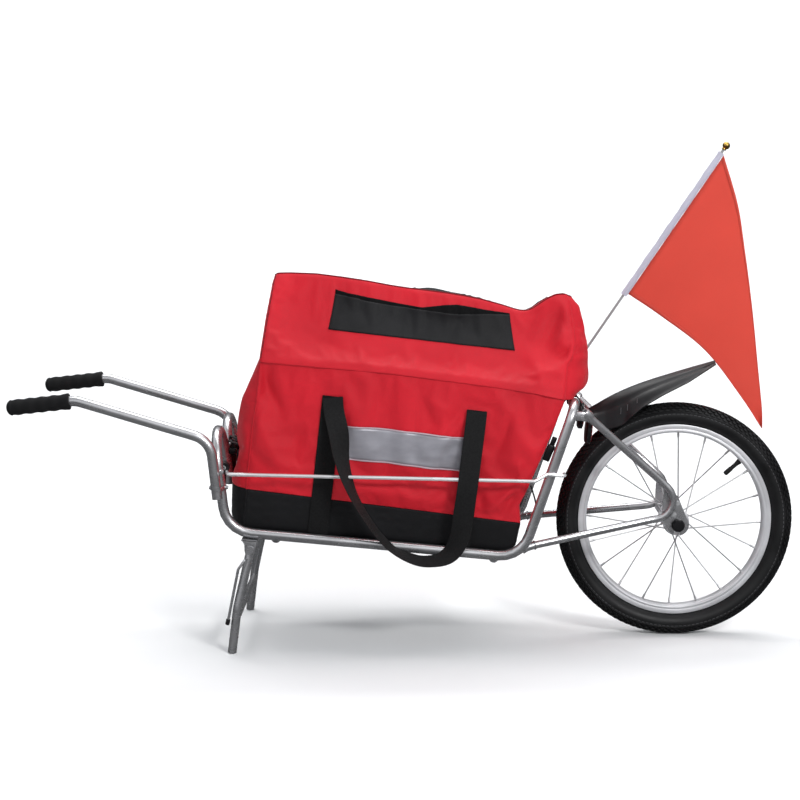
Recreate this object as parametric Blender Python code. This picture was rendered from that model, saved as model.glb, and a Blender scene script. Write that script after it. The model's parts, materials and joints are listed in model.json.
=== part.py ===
"""Single-wheel bicycle cargo trailer with a soft luggage bag, a double stand and a safety flag.

Everything is laid out in the trailer's own level frame: X runs back from the handles to the wheel, Y runs
across to the right-hand side, Z is up, and the origin is the wheel's centre. The parked trailer rests on its
stand with the handles raised, so the level frame is turned by PARK_ANGLE about the axle.
"""

import math

import bmesh
import bpy
from mathutils import Matrix, Vector

# Driving dimensions, in metres.
WHEEL_RADIUS = 0.2
AXLE_X = 0.4514
PARK_ANGLE = math.radians(5.0)
GAP = 0.0003

FRAME_TUBE = 0.0085
FRAME_Y = 0.131
RAIL_Z = -0.0635
UPRIGHT_LEAN = 0.2
FRONT_CORNER_X = -0.747
REAR_CORNER_X = -0.26
REAR_LEAN = 0.244
ARCH_FOOT_Z = 0.0365
ARCH_INNER_Y = 0.0222
CROSSBAR_Z = 0.195
CROSSBAR_BEND = 0.032

ARM_Y = 0.149
ARM_TUBE = 0.0085
ARM_FOOT = (-0.7635, -0.008)
ARM_ELBOW = (-0.7826, 0.0875)
ARM_WRIST = (-1.005, 0.1326)
ARM_TIP = (-1.11, 0.1113)
GRIP_RADIUS = 0.0123
GRIP_LENGTH = 0.104

ROD_RADIUS = 0.003
ROD_Y = 0.1508
STAY_TUBE = 0.0064
STAY_AXLE_Y = 0.062
DROPOUT_INNER_Y = 0.0505
DROPOUT_THICKNESS = 0.0046
AXLE_RADIUS = 0.005
HUB_WALL = 0.0142
FLANGE_RADIUS = 0.0225
FLANGE_Y = 0.0315

TYRE_HALF_WIDTH = 0.023
RIM_INNER = 0.149
RIM_OUTER = 0.1632
RIM_HALF_WIDTH = 0.0125
SPOKES_PER_SIDE = 10
SPOKE_WIDTH = 0.0018
SPOKE_SWEEP = math.radians(36)
SPOKE_PHASE = math.radians(1.5)
SPOKE_TIP = 0.1482
SPOKE_TIP_Y = 0.0015
FLANGE_THICKNESS = 0.003
STEM_ANGLE = math.radians(47.2)

STAND_PIVOT = (-0.705, -0.0895)
STAND_TUBE = 0.0073
STAND_TOP_Y = 0.133
STAND_FOOT_Y = 0.146
STAND_FOOT_X = -0.7205
STAND_CROSS = (-0.7165, -0.2)
STAND_KNEE = (-0.7175, -0.186)
STAND_KNEE_Y = 0.1445
BRACKET_FRONT_X = -0.7245
BRACKET_BACK_X = -0.687
BRACKET_STEEL = 0.0025
LEVER_PIVOT = (-0.7108, -0.1045)
MUDGUARD_PIVOT = (-0.1565, 0.1675)
HITCH_X = -0.7645
HITCH_HEIGHT = 0.042
REFLECTOR_PLACE = (-0.1730, 0.084, 0.150)
CLAMP_Z = (0.006, 0.013)
ROD_FRONT_Z = 0.0345
ROD_HOOK_Z = 0.0805
FLOOR_X = (-0.702, -0.288)
FLOOR_TUBES_X = (-0.665, -0.305)

BAG_FLOOR_Z = -0.0578
BAG_SEAM_Z = 0.221
BAG_TOP_Z = 0.362
WEBBING = 0.038

POLE_Y = 0.1495
POLE_RADIUS = 0.0024
POLE_FOOT = (-0.2174, 0.1636)
POLE_LEAN = math.radians(28.8)
POLE_LENGTH = 0.535
SLEEVE_START = 0.214
SLEEVE_LENGTH = 0.31
FLAG_TIP = (0.162, 0.152)

SIDES = (("left", -1), ("right", 1))


def clear_scene():
    for obj in list(bpy.data.objects):
        bpy.data.objects.remove(obj, do_unlink=True)


def make_material(name, colour, roughness, metallic=0.0):
    made = bpy.data.materials.new(name)
    made.use_nodes = True
    shader = made.node_tree.nodes["Principled BSDF"]
    shader.inputs["Base Color"].default_value = (*colour, 1.0)
    shader.inputs["Roughness"].default_value = roughness
    shader.inputs["Metallic"].default_value = metallic
    return made


def make_empty(name, location, parent=None):
    empty = bpy.data.objects.new(name, None)
    empty.location = location
    empty.parent = parent
    bpy.context.scene.collection.objects.link(empty)
    return empty


def add_object(name, data, paint, parent, location=(0, 0, 0)):
    """Links a mesh or curve under its parent empty, at a place given in the level frame."""
    obj = bpy.data.objects.new(name, data)
    obj.data.materials.append(paint)
    obj.parent = parent
    base = parent.get("level_place", (0, 0, 0))
    obj.location = Vector(location) - Vector(base)
    bpy.context.scene.collection.objects.link(obj)
    return obj


def add_mesh(name, bm, paint, parent, location=(0, 0, 0), smooth_below=35):
    bmesh.ops.recalc_face_normals(bm, faces=bm.faces)
    mesh = bpy.data.meshes.new(name)
    bm.to_mesh(mesh)
    bm.free()
    mesh.shade_smooth()
    mesh.set_sharp_from_angle(angle=math.radians(smooth_below))
    return add_object(name, mesh, paint, parent, location)


def rounded(points, radius, steps=5):
    """A route through the points whose inner corners are turned into arcs of the radius."""
    points = [Vector(point) for point in points]
    route = [points[0]]
    for before, corner, after in zip(points, points[1:], points[2:]):
        into = (before - corner).normalized()
        out = (after - corner).normalized()
        half = into.angle(out) / 2
        reach = radius / math.tan(half)
        centre = corner + (into + out).normalized() * (radius / math.sin(half))
        first = corner + into * reach - centre
        last = corner + out * reach - centre
        turn = first.angle(last)
        for step in range(steps + 1):
            part = step / steps
            blend = (first * math.sin((1 - part) * turn) + last * math.sin(part * turn)) / math.sin(turn)
            route.append(centre + blend)
    route.append(points[-1])
    return route


def add_tube(name, route, radius, paint, parent, location=(0, 0, 0), resolution=4):
    curve = bpy.data.curves.new(name, "CURVE")
    curve.dimensions = "3D"
    curve.bevel_depth = radius
    curve.bevel_resolution = resolution
    curve.use_fill_caps = True
    spline = curve.splines.new("POLY")
    spline.points.add(len(route) - 1)
    for point, place in zip(spline.points, route):
        point.co = (*(Vector(place) - Vector(location)), 1.0)
    spline.use_smooth = True
    return add_object(name, curve, paint, parent, location)


def turned_body(profile, steps):
    """A solid turned about +Y from (radius, y) points. Profiles that stay off the axis close up on themselves."""
    bm = bmesh.new()
    rings = []
    for radius, along in profile:
        if radius == 0:
            rings.append([bm.verts.new((0, along, 0))])
            continue
        angles = (2 * math.pi * step / steps for step in range(steps))
        rings.append([bm.verts.new((radius * math.cos(a), along, radius * math.sin(a))) for a in angles])
    pairs = list(zip(rings, rings[1:]))
    if len(rings[0]) > 1 and len(rings[-1]) > 1:
        pairs.append((rings[-1], rings[0]))
    for one, other in pairs:
        for step in range(steps if len(one) + len(other) > 2 else 0):
            following = (step + 1) % steps
            corners = []
            for ring, picks in ((one, (step, following)), (other, (following, step))):
                corners += [ring[0]] if len(ring) == 1 else [ring[pick] for pick in picks]
            bm.faces.new(corners)
    return bm


def aim(obj, direction):
    """Turns a body made along +Y so that it points along the direction."""
    obj.rotation_mode = "QUATERNION"
    obj.rotation_quaternion = Vector((0, 1, 0)).rotation_difference(Vector(direction))


def slab_body(outline, y_low, y_high):
    """A plate: an outline of (x, z) points, thick from y_low to y_high."""
    bm = bmesh.new()
    low = [bm.verts.new((x, y_low, z)) for x, z in outline]
    high = [bm.verts.new((x, y_high, z)) for x, z in outline]
    count = len(outline)
    bm.faces.new(low)
    bm.faces.new(high[::-1])
    for index in range(count):
        following = (index + 1) % count
        bm.faces.new((low[index], low[following], high[following], high[index]))
    return bm


def arc(centre, radius, start, end, steps=8):
    """Points of (x, z) on an arc, with the angles in degrees from +X towards +Z."""
    angles = [math.radians(start + (end - start) * step / steps) for step in range(steps + 1)]
    return [(centre[0] + radius * math.cos(a), centre[1] + radius * math.sin(a)) for a in angles]


def strip_outline(path, thickness):
    """The outline of a bent strip that keeps its thickness on the left of an (x, z) path."""
    points = [Vector(point) for point in path]
    outer = []
    for index, point in enumerate(points):
        before = points[max(index - 1, 0)]
        after = points[min(index + 1, len(points) - 1)]
        along = (after - before).normalized()
        outer.append(point + Vector((-along.y, along.x)) * thickness)
    return [tuple(point) for point in points + outer[::-1]]


def joined(name, bodies, paint, parent, location=(0, 0, 0)):
    """One closed solid from overlapping bodies, by Boolean union."""
    parts = []
    for index, bm in enumerate(bodies):
        bmesh.ops.recalc_face_normals(bm, faces=bm.faces)
        mesh = bpy.data.meshes.new(f"{name}_{index}")
        bm.to_mesh(mesh)
        bm.free()
        part = bpy.data.objects.new(f"{name}_{index}", mesh)
        bpy.context.scene.collection.objects.link(part)
        parts.append(part)
    for part in parts[1:]:
        union = parts[0].modifiers.new("union", "BOOLEAN")
        union.operation = "UNION"
        union.object = part
    graph = bpy.context.evaluated_depsgraph_get()
    whole = bpy.data.meshes.new_from_object(parts[0].evaluated_get(graph))
    bm = bmesh.new()
    bm.from_mesh(whole)
    for part in parts:
        bpy.data.objects.remove(part, do_unlink=True)
    return add_mesh(name, bm, paint, parent, location)


def box_body(low, high):
    bm = bmesh.new()
    bmesh.ops.create_cube(bm, size=1.0)
    low, high = Vector(low), Vector(high)
    for vert in bm.verts:
        vert.co = Vector((low[i] + (vert.co[i] + 0.5) * (high[i] - low[i]) for i in range(3)))
    return bm


def rod_body(start, end, radius, steps=12):
    """A plain round bar between two points."""
    start, end = Vector(start), Vector(end)
    length = (end - start).length
    bm = turned_body([(0, 0), (radius, 0), (radius, length), (0, length)], steps)
    turn = Vector((0, 1, 0)).rotation_difference(end - start).to_matrix().to_4x4()
    bmesh.ops.transform(bm, matrix=Matrix.Translation(start) @ turn, verts=bm.verts)
    return bm


def upright_x(z):
    """The front upright's centre line leans forward as it rises."""
    return FRONT_CORNER_X - UPRIGHT_LEAN * (z - RAIL_Z)


def rear_upright_x(z):
    return REAR_CORNER_X + REAR_LEAN * (z - RAIL_Z)


def make_side_frame(side, sign, steel, parent):
    """A side rail, bent up at both ends, and the arch that carries its front end over to the hitch."""
    y = sign * FRAME_Y
    top_x = rear_upright_x(CROSSBAR_Z)
    seam_y = sign * (FRAME_Y - CROSSBAR_BEND)
    low = rounded(
        [(upright_x(ARCH_FOOT_Z), y, ARCH_FOOT_Z), (FRONT_CORNER_X, y, RAIL_Z), (REAR_CORNER_X, y, RAIL_Z),
         (rear_upright_x(0.1), y, 0.1)],
        0.05,
    )
    top = rounded(
        [(rear_upright_x(0.1), y, 0.1), (top_x, y, CROSSBAR_Z), (top_x, seam_y - sign * 0.004, CROSSBAR_Z)],
        CROSSBAR_BEND - 0.002,
    )
    add_tube(f"side_rail_{side}", low[:-1] + top, FRAME_TUBE, steel, parent)
    middle = (FRAME_Y + ARCH_INNER_Y) / 2
    radius = (FRAME_Y - ARCH_INNER_Y) / 2
    route = [(upright_x(ARCH_FOOT_Z + GAP), y, ARCH_FOOT_Z + GAP)]
    for step in range(11):
        angle = math.pi * step / 10
        height = ARCH_FOOT_Z + 0.003 + radius * math.sin(angle)
        route.append((upright_x(height), sign * (middle + radius * math.cos(angle)), height))
    route.append((upright_x(-0.004), sign * ARCH_INNER_Y, -0.004))
    add_tube(f"front_arch_{side}", route, FRAME_TUBE, steel, parent)


def make_rear_crossbar(steel, parent):
    x = rear_upright_x(CROSSBAR_Z)
    end = FRAME_Y - CROSSBAR_BEND - 0.004 - GAP
    add_tube("rear_crossbar", [(x, -end, CROSSBAR_Z), (x, end, CROSSBAR_Z)], FRAME_TUBE, steel, parent)


def make_floor(steel, black, parent):
    """A thin tray with raised lips that lies between the rails on two cross tubes."""
    radius = 0.0065
    end = FRAME_Y - FRAME_TUBE - GAP
    height = RAIL_Z - 0.0067
    for place, x in zip(("front", "rear"), FLOOR_TUBES_X):
        add_tube(f"floor_tube_{place}", [(x, -end, height), (x, end, height)], radius, steel, parent)
    low = height + radius + GAP
    half = end - 0.0012
    front, back = FLOOR_X
    sheet = box_body((front, -half, low), (back, half, low + 0.0014))
    lips = [
        box_body((front, side * half - 0.0007, low), (back, side * half + 0.0007, low + 0.0050)) for side in (-1, 1)
    ]
    joined("floor_panel", [sheet] + lips, black, parent)


def make_handle(side, sign, steel, foam, parent):
    """The bent arm that bolts beside the front upright, and its closed foam grip."""
    y = sign * ARM_Y
    corners = [(x, y, z) for x, z in (ARM_FOOT, ARM_ELBOW, ARM_WRIST, ARM_TIP)]
    add_tube(f"handle_arm_{side}", rounded(corners, 0.04), ARM_TUBE, steel, parent)
    wrist, tip = Vector(corners[2]), Vector(corners[3])
    out = (tip - wrist).normalized()
    bore = ARM_TUBE + GAP
    end_wall = 0.0065
    start = tip + out * (end_wall - GRIP_LENGTH)
    waves = 16
    outer = []
    for step in range(waves + 1):
        along = 0.004 + (GRIP_LENGTH - 0.01) * step / waves
        swell = 0.0009 * math.cos(2 * math.pi * 4 * step / waves)
        outer.append((GRIP_RADIUS + swell, along))
    profile = [(bore, 0.0), (GRIP_RADIUS - 0.001, 0.0)] + outer
    profile += [(GRIP_RADIUS - 0.002, GRIP_LENGTH - 0.0015), (0, GRIP_LENGTH)]
    profile = [(0, GRIP_LENGTH - end_wall + GAP), (bore, GRIP_LENGTH - end_wall + GAP)] + profile
    grip = add_mesh(f"handle_grip_{side}", turned_body(profile, 14), foam, parent, start)
    aim(grip, out)


def make_arm_clamp(side, sign, steel, parent):
    """A band round the arm and the upright, with the clamp bolt's head in front and its nut behind."""
    z_low, z_high = CLAMP_Z
    middle = (z_low + z_high) / 2
    arm = Vector((ARM_FOOT[0] - UPRIGHT_LEAN * (middle - ARM_FOOT[1]), sign * ARM_Y))
    post = Vector((upright_x(middle), sign * FRAME_Y))
    along = (post - arm).normalized()
    across = Vector((-along.y, along.x))

    def loop(radius):
        points = []
        for centre, start in ((post, -90), (arm, 90)):
            for step in range(9):
                angle = math.radians(start + 180 * step / 8)
                points.append(centre + along * (radius * math.cos(angle)) + across * (radius * math.sin(angle)))
        return points

    bm = bmesh.new()
    inner, outer = FRAME_TUBE + 0.0004, FRAME_TUBE + 0.0014
    rings = []
    for radius, height in ((inner, z_low), (outer, z_low), (outer, z_high), (inner, z_high)):
        shift = Vector((-UPRIGHT_LEAN * (height - middle), 0, height))
        rings.append([bm.verts.new(Vector((p.x, p.y, 0)) + shift) for p in loop(radius)])
    for one, other in zip(rings, rings[1:] + rings[:1]):
        for index in range(len(one)):
            following = (index + 1) % len(one)
            bm.faces.new((one[index], one[following], other[following], other[index]))
    front = arm - Vector((outer - 0.0005, 0))
    back = post + Vector((outer - 0.0005, 0))
    head = rod_body((front.x, front.y, middle), (front.x - 0.0022, front.y, middle), 0.0026, 6)
    nut = rod_body((back.x, back.y, middle), (back.x + 0.003, back.y, middle), 0.003, 6)
    joined(f"arm_clamp_{side}", [bm, head, nut], steel, parent)


def make_hitch(paint, parents):
    """The coupling barrel between the arches, and the swivel that turns in it and carries the drawbar ear."""
    centre = (HITCH_X, 0, 0)
    low, high = 0.0, HITCH_HEIGHT
    ring = turned_body([(0.0066, low), (0.0128, low), (0.0128, high), (0.0066, high)], 20)
    bmesh.ops.rotate(ring, matrix=Matrix.Rotation(math.radians(90), 3, "X"), verts=ring.verts)
    add_mesh("hitch_barrel", ring, paint["black_steel"], parents["frame"], centre)
    profile = [(0, low - 0.009), (0.0095, low - 0.009), (0.0095, low - 0.0005), (0.006, low - 0.0005),
               (0.006, high + 0.0005), (0.0122, high + 0.0005), (0.0122, high + 0.009), (0.0105, high + 0.0105),
               (0, high + 0.0105)]
    pin = turned_body(profile, 20)
    bmesh.ops.rotate(pin, matrix=Matrix.Rotation(math.radians(90), 3, "X"), verts=pin.verts)
    slot = 0.0028
    ear_top = high + 0.026
    hole = ear_top - 0.0075
    outline = [(-0.0085, high + 0.008), (0.0085, high + 0.008), (0.0085, ear_top - 0.004), (0.005, ear_top),
               (slot, ear_top), (slot, hole), *arc((0, hole), slot, -30, -150, 4), (-slot, hole), (-slot, ear_top),
               (-0.005, ear_top), (-0.0085, ear_top - 0.004)]
    joined("hitch_swivel", [pin, slab_body(outline, -0.005, 0.005)], paint["black_steel"], parents["yaw"], centre)
    cross = turned_body([(0, -0.0100), (0.0021, -0.0100), (0.0025, -0.0094), (0.0025, 0.0060), (0.0045, 0.0060),
                         (0.0045, 0.0095), (0, 0.0095)], 12)
    add_mesh("hitch_pin", cross, paint["steel"], parents["yaw"], (HITCH_X, 0, hole))


def make_guard_rod(side, sign, steel, parent):
    """A thin rod along the bag's flank, hooked on the front upright and round the rear one."""
    y = sign * ROD_Y
    hook_y = sign * (FRAME_Y + FRAME_TUBE + ROD_RADIUS + 0.0006)
    corners = [
        (upright_x(ROD_FRONT_Z) + 0.0125, sign * (FRAME_Y - 0.004), ROD_FRONT_Z),
        (upright_x(ROD_FRONT_Z) + 0.0175, y, ROD_FRONT_Z),
        (-0.2516, y, ROD_HOOK_Z - 0.012),
        (-0.232, hook_y, ROD_HOOK_Z),
        (-0.2035, hook_y, ROD_HOOK_Z),
        (-0.2035, sign * (FRAME_Y - 0.006), ROD_HOOK_Z),
    ]
    add_tube(f"guard_rod_{side}", rounded(corners, 0.006, 3), ROD_RADIUS, steel, parent, resolution=2)


def make_stay(side, sign, steel, parent):
    """One tube that runs back from the rail, bends round above the axle and returns to the crossbar's corner."""
    y = STAY_AXLE_Y
    corners = [
        (-0.2438, sign * 0.1255, -0.043),
        (-0.045, sign * y, 0.006),
        (0.0265, sign * y, 0.0235),
        (-0.045, sign * y, 0.0787),
        (-0.179, sign * 0.1235, 0.1822),
    ]
    route = [Vector(corners[0])] + rounded(corners[1:4], 0.0313, 8) + [Vector(corners[4])]
    add_tube(f"wheel_stay_{side}", route, STAY_TUBE, steel, parent)


def make_dropout(side, sign, steel, parent):
    """A plate inside the stay's bend, with an open slot for the axle."""
    slot = AXLE_RADIUS + GAP
    outline = arc((0, 0), slot, 180, 0, 8) + [(slot, -0.0178)]
    outline += arc((0, 0), 0.019, -71, 46, 8) + [(-0.004, 0.047), (-0.027, 0.065), (-0.029, 0.046), (-0.027, 0.006)]
    outline += arc((0, 0), 0.019, 197, 251, 4) + [(-slot, -0.0178)]
    inner = sign * DROPOUT_INNER_Y
    outer = sign * (DROPOUT_INNER_Y + DROPOUT_THICKNESS)
    plate = slab_body(outline, min(inner, outer), max(inner, outer))
    add_mesh(f"dropout_{side}", plate, steel, parent)


def make_stay_gusset(side, sign, steel, parent):
    """A bolted corner plate between the rear upright and the stay's top end."""
    outline = [(-0.1995, 0.128), (-0.190, 0.128), (-0.166, 0.155), (-0.1865, 0.1705), (-0.1895, 0.1665)]
    y = sign * 0.1235
    plate = slab_body(outline, y - 0.002, y + 0.002)
    bolt = rod_body((-0.183, y - sign * 0.005, 0.154), (-0.183, y + sign * 0.005, 0.154), 0.004, 6)
    joined(f"stay_gusset_{side}", [plate, bolt], steel, parent)


def make_axle(steel, black, parent):
    reach = DROPOUT_INNER_Y + DROPOUT_THICKNESS + 0.009
    axle = turned_body([(0, -reach), (AXLE_RADIUS, -reach), (AXLE_RADIUS, reach), (0, reach)], 16)
    add_mesh("axle", axle, steel, parent)
    inner = DROPOUT_INNER_Y + DROPOUT_THICKNESS + GAP
    for side, sign in SIDES:
        bore = AXLE_RADIUS + GAP
        profile = [
            (bore, 0), (0.0105, 0), (0.0108, 0.003), (0.0108, 0.0095), (0.0088, 0.0122), (0, 0.0128),
            (0, 0.0098), (bore, 0.0098),
        ]
        cap = add_mesh(f"axle_cap_{side}", turned_body(profile, 20), black, parent, (0, sign * inner, 0))
        aim(cap, (0, sign, 0))


def make_wheel(paint, parent):
    """The tyre on its rim, the inner tube, the hub shell on the axle, and the spokes on their flanges."""
    crown = WHEEL_RADIUS
    half = TYRE_HALF_WIDTH
    outside = [(0.1575, 0.0104), (0.1640, 0.0106), (0.1690, 0.0190), (0.1770, half), (0.1870, 0.0212),
               (0.1955, 0.0135), (crown, 0.0)]
    inside = [(0.1952, 0.0), (0.1900, 0.0125), (0.1780, 0.0182), (0.1690, 0.0128), (0.1655, 0.0066),
              (0.1575, 0.0062)]
    profile = outside + [(r, -y) for r, y in outside[-2::-1]]
    profile += [(r, -y) for r, y in inside[::-1]] + inside[1:]
    add_mesh("tyre", turned_body(profile, 48), paint["rubber"], parent)
    ring = [(0.1808 + 0.0125 * math.cos(a), 0.0125 * math.sin(a)) for a in
            (2 * math.pi * step / 8 for step in range(8))]
    add_mesh("inner_tube", turned_body(ring, 32), paint["rubber"], parent)
    rim_half = RIM_HALF_WIDTH
    rim = [(RIM_INNER, 0.008), (0.1515, rim_half), (RIM_OUTER, rim_half), (RIM_OUTER, rim_half - 0.0014),
           (0.1572, rim_half - 0.0016)]
    rim += [(r, -y) for r, y in rim[::-1]]
    add_mesh("rim", turned_body(rim, 48), paint["alloy"], parent)
    bore = AXLE_RADIUS + GAP
    end = DROPOUT_INNER_Y - 0.0012
    shell = [(bore, end), (0.0085, end), (0.0095, end - 0.006), (HUB_WALL, end - 0.009), (HUB_WALL, 0.026),
             (0.0115, 0.018)]
    shell += [(r, -y) for r, y in shell[::-1]]
    add_mesh("hub_shell", turned_body(shell, 20), paint["alloy"], parent)
    for side, sign in SIDES:
        make_spokes(side, sign, paint["spoke"], parent)
    outward = Vector((math.cos(STEM_ANGLE), 0, math.sin(STEM_ANGLE)))
    profile = [(0, 0), (0.0042, 0), (0.0046, 0.004), (0.0036, 0.007), (0.003, 0.018), (0.0036, 0.02),
               (0.0036, 0.031), (0.0025, 0.033), (0, 0.033)]
    stem = add_mesh("valve_stem", turned_body(profile, 12), paint["rubber"], parent, outward * (RIM_INNER - 0.0009))
    aim(stem, -outward)


def square_ring(corners, centre, place, direction):
    """The corners of a spoke's square section at a place, in the order of the corners before it."""
    across = direction.cross(Vector((0, 1, 0))).normalized()
    up = across.cross(direction).normalized()
    half = SPOKE_WIDTH / 2
    ring = []
    for corner in corners:
        offset = corner - centre
        shift = across * math.copysign(half, offset.dot(across)) + up * math.copysign(half, offset.dot(up))
        ring.append(place + shift)
    return ring


def draw_spoke(bm, root, crossing):
    """Draws one spoke out of a face on the flange's edge, to a tip just inside the rim."""
    start = root.calc_center_median()
    outward = Vector((start.x, 0, start.z)).normalized()
    angle = math.atan2(start.z, start.x) + crossing
    tip = Vector((SPOKE_TIP * math.cos(angle), math.copysign(SPOKE_TIP_Y, start.y), SPOKE_TIP * math.sin(angle)))
    corners = list(root.verts)
    bm.faces.remove(root)
    centre = start
    for place, direction in ((start + outward * 0.0022, outward), (tip, (tip - start).normalized())):
        ring = square_ring([corner.co for corner in corners], centre, place, direction)
        following = [bm.verts.new(point) for point in ring]
        for index in range(4):
            after = (index + 1) % 4
            bm.faces.new((corners[index], corners[after], following[after], following[index]))
        corners, centre = following, place
    bm.faces.new(corners)


def make_spokes(side, sign, wire, parent):
    """A hub flange with its once-crossed spokes. The right side's spokes lie midway between the left side's."""
    steps = SPOKES_PER_SIDE * 4
    inner = HUB_WALL + GAP
    half = FLANGE_THICKNESS / 2
    bm = turned_body([(inner, -half), (FLANGE_RADIUS, -half), (FLANGE_RADIUS, half), (inner, half)], steps)
    bmesh.ops.translate(bm, vec=(0, sign * FLANGE_Y, 0), verts=bm.verts)
    edges = [face for face in bm.faces if all(math.hypot(v.co.x, v.co.z) > FLANGE_RADIUS - 1e-5 for v in face.verts)]
    edges.sort(key=lambda face: math.atan2(face.calc_center_median().z, face.calc_center_median().x))
    first = 0 if sign < 0 else 2
    for index in range(SPOKES_PER_SIDE):
        crossing = SPOKE_SWEEP if index % 2 else -SPOKE_SWEEP
        draw_spoke(bm, edges[first + index * 4], crossing)
    bmesh.ops.rotate(bm, matrix=Matrix.Rotation(SPOKE_PHASE, 3, "Y"), verts=bm.verts)
    add_mesh(f"spokes_{side}", bm, wire, parent, smooth_below=10)


def ground_z(x):
    """The height, in the level frame, at which the ground lies below x."""
    return (x * math.sin(PARK_ANGLE) - WHEEL_RADIUS) / math.cos(PARK_ANGLE)


def make_stand(paint, parents):
    """Two legs joined by a tube, swinging on one pivot rod in a bracket under each rail."""
    stand = parents["stand"]
    pivot_x, pivot_z = STAND_PIVOT
    foot_z = ground_z(STAND_FOOT_X)
    top = RAIL_Z - FRAME_TUBE - GAP
    for side, sign in SIDES:
        route = rounded(
            [(pivot_x, sign * STAND_TOP_Y, pivot_z - 0.0052), (STAND_KNEE[0], sign * STAND_KNEE_Y, STAND_KNEE[1]),
             (STAND_FOOT_X, sign * STAND_FOOT_Y, foot_z + 0.0010)],
            0.08, 4,
        )
        add_tube(f"stand_leg_{side}", route, STAND_TUBE, paint["steel"], stand, (pivot_x, 0, pivot_z))
        ear = make_bracket_plate(pivot_x, pivot_z)
        outer = sign * (STAND_TOP_Y + 0.0105)
        inner = sign * (STAND_TOP_Y - 0.0105)
        outer_face = outer + sign * BRACKET_STEEL
        inner_face = inner - sign * BRACKET_STEEL
        ears = [slab_body(ear, min(pair), max(pair)) for pair in ((outer, outer_face), (inner, inner_face))]
        low_y, high_y = sorted((outer_face, inner_face))
        bridge = box_body((BRACKET_FRONT_X, low_y, top - BRACKET_STEEL), (BRACKET_BACK_X, high_y, top))
        joined(f"stand_bracket_{side}", [bridge] + ears, paint["steel"], parents["frame"])
    end = STAND_KNEE_Y - STAND_TUBE - 0.0005
    cross = [(STAND_CROSS[0], y, STAND_CROSS[1]) for y in (-end, end)]
    add_tube("stand_cross_tube", cross, 0.0062, paint["steel"], stand, (pivot_x, 0, pivot_z))
    reach = STAND_TOP_Y + 0.0185
    profile = [(0, -reach), (0.0062, -reach), (0.0062, 0.0042 - reach), (0.0038, 0.0042 - reach),
               (0.0038, reach - 0.0042), (0.0062, reach - 0.0042), (0.0062, reach), (0, reach)]
    add_mesh("stand_pivot_rod", turned_body(profile, 12), paint["steel"], stand, (pivot_x, 0, pivot_z))


def make_bracket_plate(pivot_x, pivot_z):
    """A tapered ear with a notch from below that takes the pivot rod."""
    slot = 0.0041
    top = RAIL_Z - FRAME_TUBE - GAP
    return [
        (BRACKET_FRONT_X, top), (BRACKET_BACK_X, top), (-0.692, pivot_z + 0.003), (pivot_x + 0.0095, pivot_z - 0.006),
        (pivot_x + slot, pivot_z - 0.006), (pivot_x + slot, pivot_z), *arc((pivot_x, pivot_z), slot, 30, 150, 4),
        (pivot_x - slot, pivot_z), (pivot_x - slot, pivot_z - 0.006), (pivot_x - 0.0095, pivot_z - 0.006),
    ]


def make_lever(paint, parent):
    """The bent wire that unlocks the stand. Its upper end turns in the left leg, and its tip is rubber."""
    x, z = LEVER_PIVOT
    inner = -(STAND_TOP_Y + STAND_TUBE + 0.0015)
    outer = inner - 0.0075
    bottom = (x - 0.0205, outer, z - 0.1080)
    route = rounded([(x, inner, z), (x, outer, z), (x - 0.0100, outer, z - 0.0170), bottom], 0.004, 3)
    add_tube("stand_lever", route, 0.0023, paint["steel"], parent, (x, 0, z), resolution=2)
    tip = turned_body([(0.0026, 0), (0.0036, 0), (0.0036, 0.0082), (0.0028, 0.0095), (0, 0.0095), (0, 0.0062),
                       (0.0026, 0.0062)], 12)
    along = (route[-1] - route[-2]).normalized()
    start = route[-1] - along * 0.0058
    aim(add_mesh("stand_lever_tip", tip, paint["rubber"], parent, start), along)


def smooth_route(points, steps):
    """A Catmull-Rom curve through the points."""
    points = [Vector(point) for point in points]
    padded = [2 * points[0] - points[1]] + points + [2 * points[-1] - points[-2]]
    route = []
    for p0, p1, p2, p3 in zip(padded, padded[1:], padded[2:], padded[3:]):
        for step in range(steps):
            t = step / steps
            route.append(
                0.5 * (2 * p1 + (p2 - p0) * t + (2 * p0 - 5 * p1 + 4 * p2 - p3) * t * t
                       + (3 * p1 - p0 - 3 * p2 + p3) * t ** 3)
            )
    return route + [points[-1]]


def grid_shell(rows_top, rows_bottom):
    """A closed sheet between two matching grids of points."""
    bm = bmesh.new()
    top = [[bm.verts.new(point) for point in row] for row in rows_top]
    bottom = [[bm.verts.new(point) for point in row] for row in rows_bottom]
    for grid, flip in ((top, 1), (bottom, -1)):
        for one, other in zip(grid, grid[1:]):
            for index in range(len(one) - 1):
                bm.faces.new((one[index], one[index + 1], other[index + 1], other[index])[::flip])
    for one, other in ((top[0], bottom[0]), (bottom[-1], top[-1])):
        for index in range(len(one) - 1):
            bm.faces.new((one[index + 1], one[index], other[index], other[index + 1]))
    for side in (0, -1):
        for index in range(len(top) - 1):
            corners = (top[index][side], top[index + 1][side], bottom[index + 1][side], bottom[index][side])
            bm.faces.new(corners if side == 0 else corners[::-1])
    return bm


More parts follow.
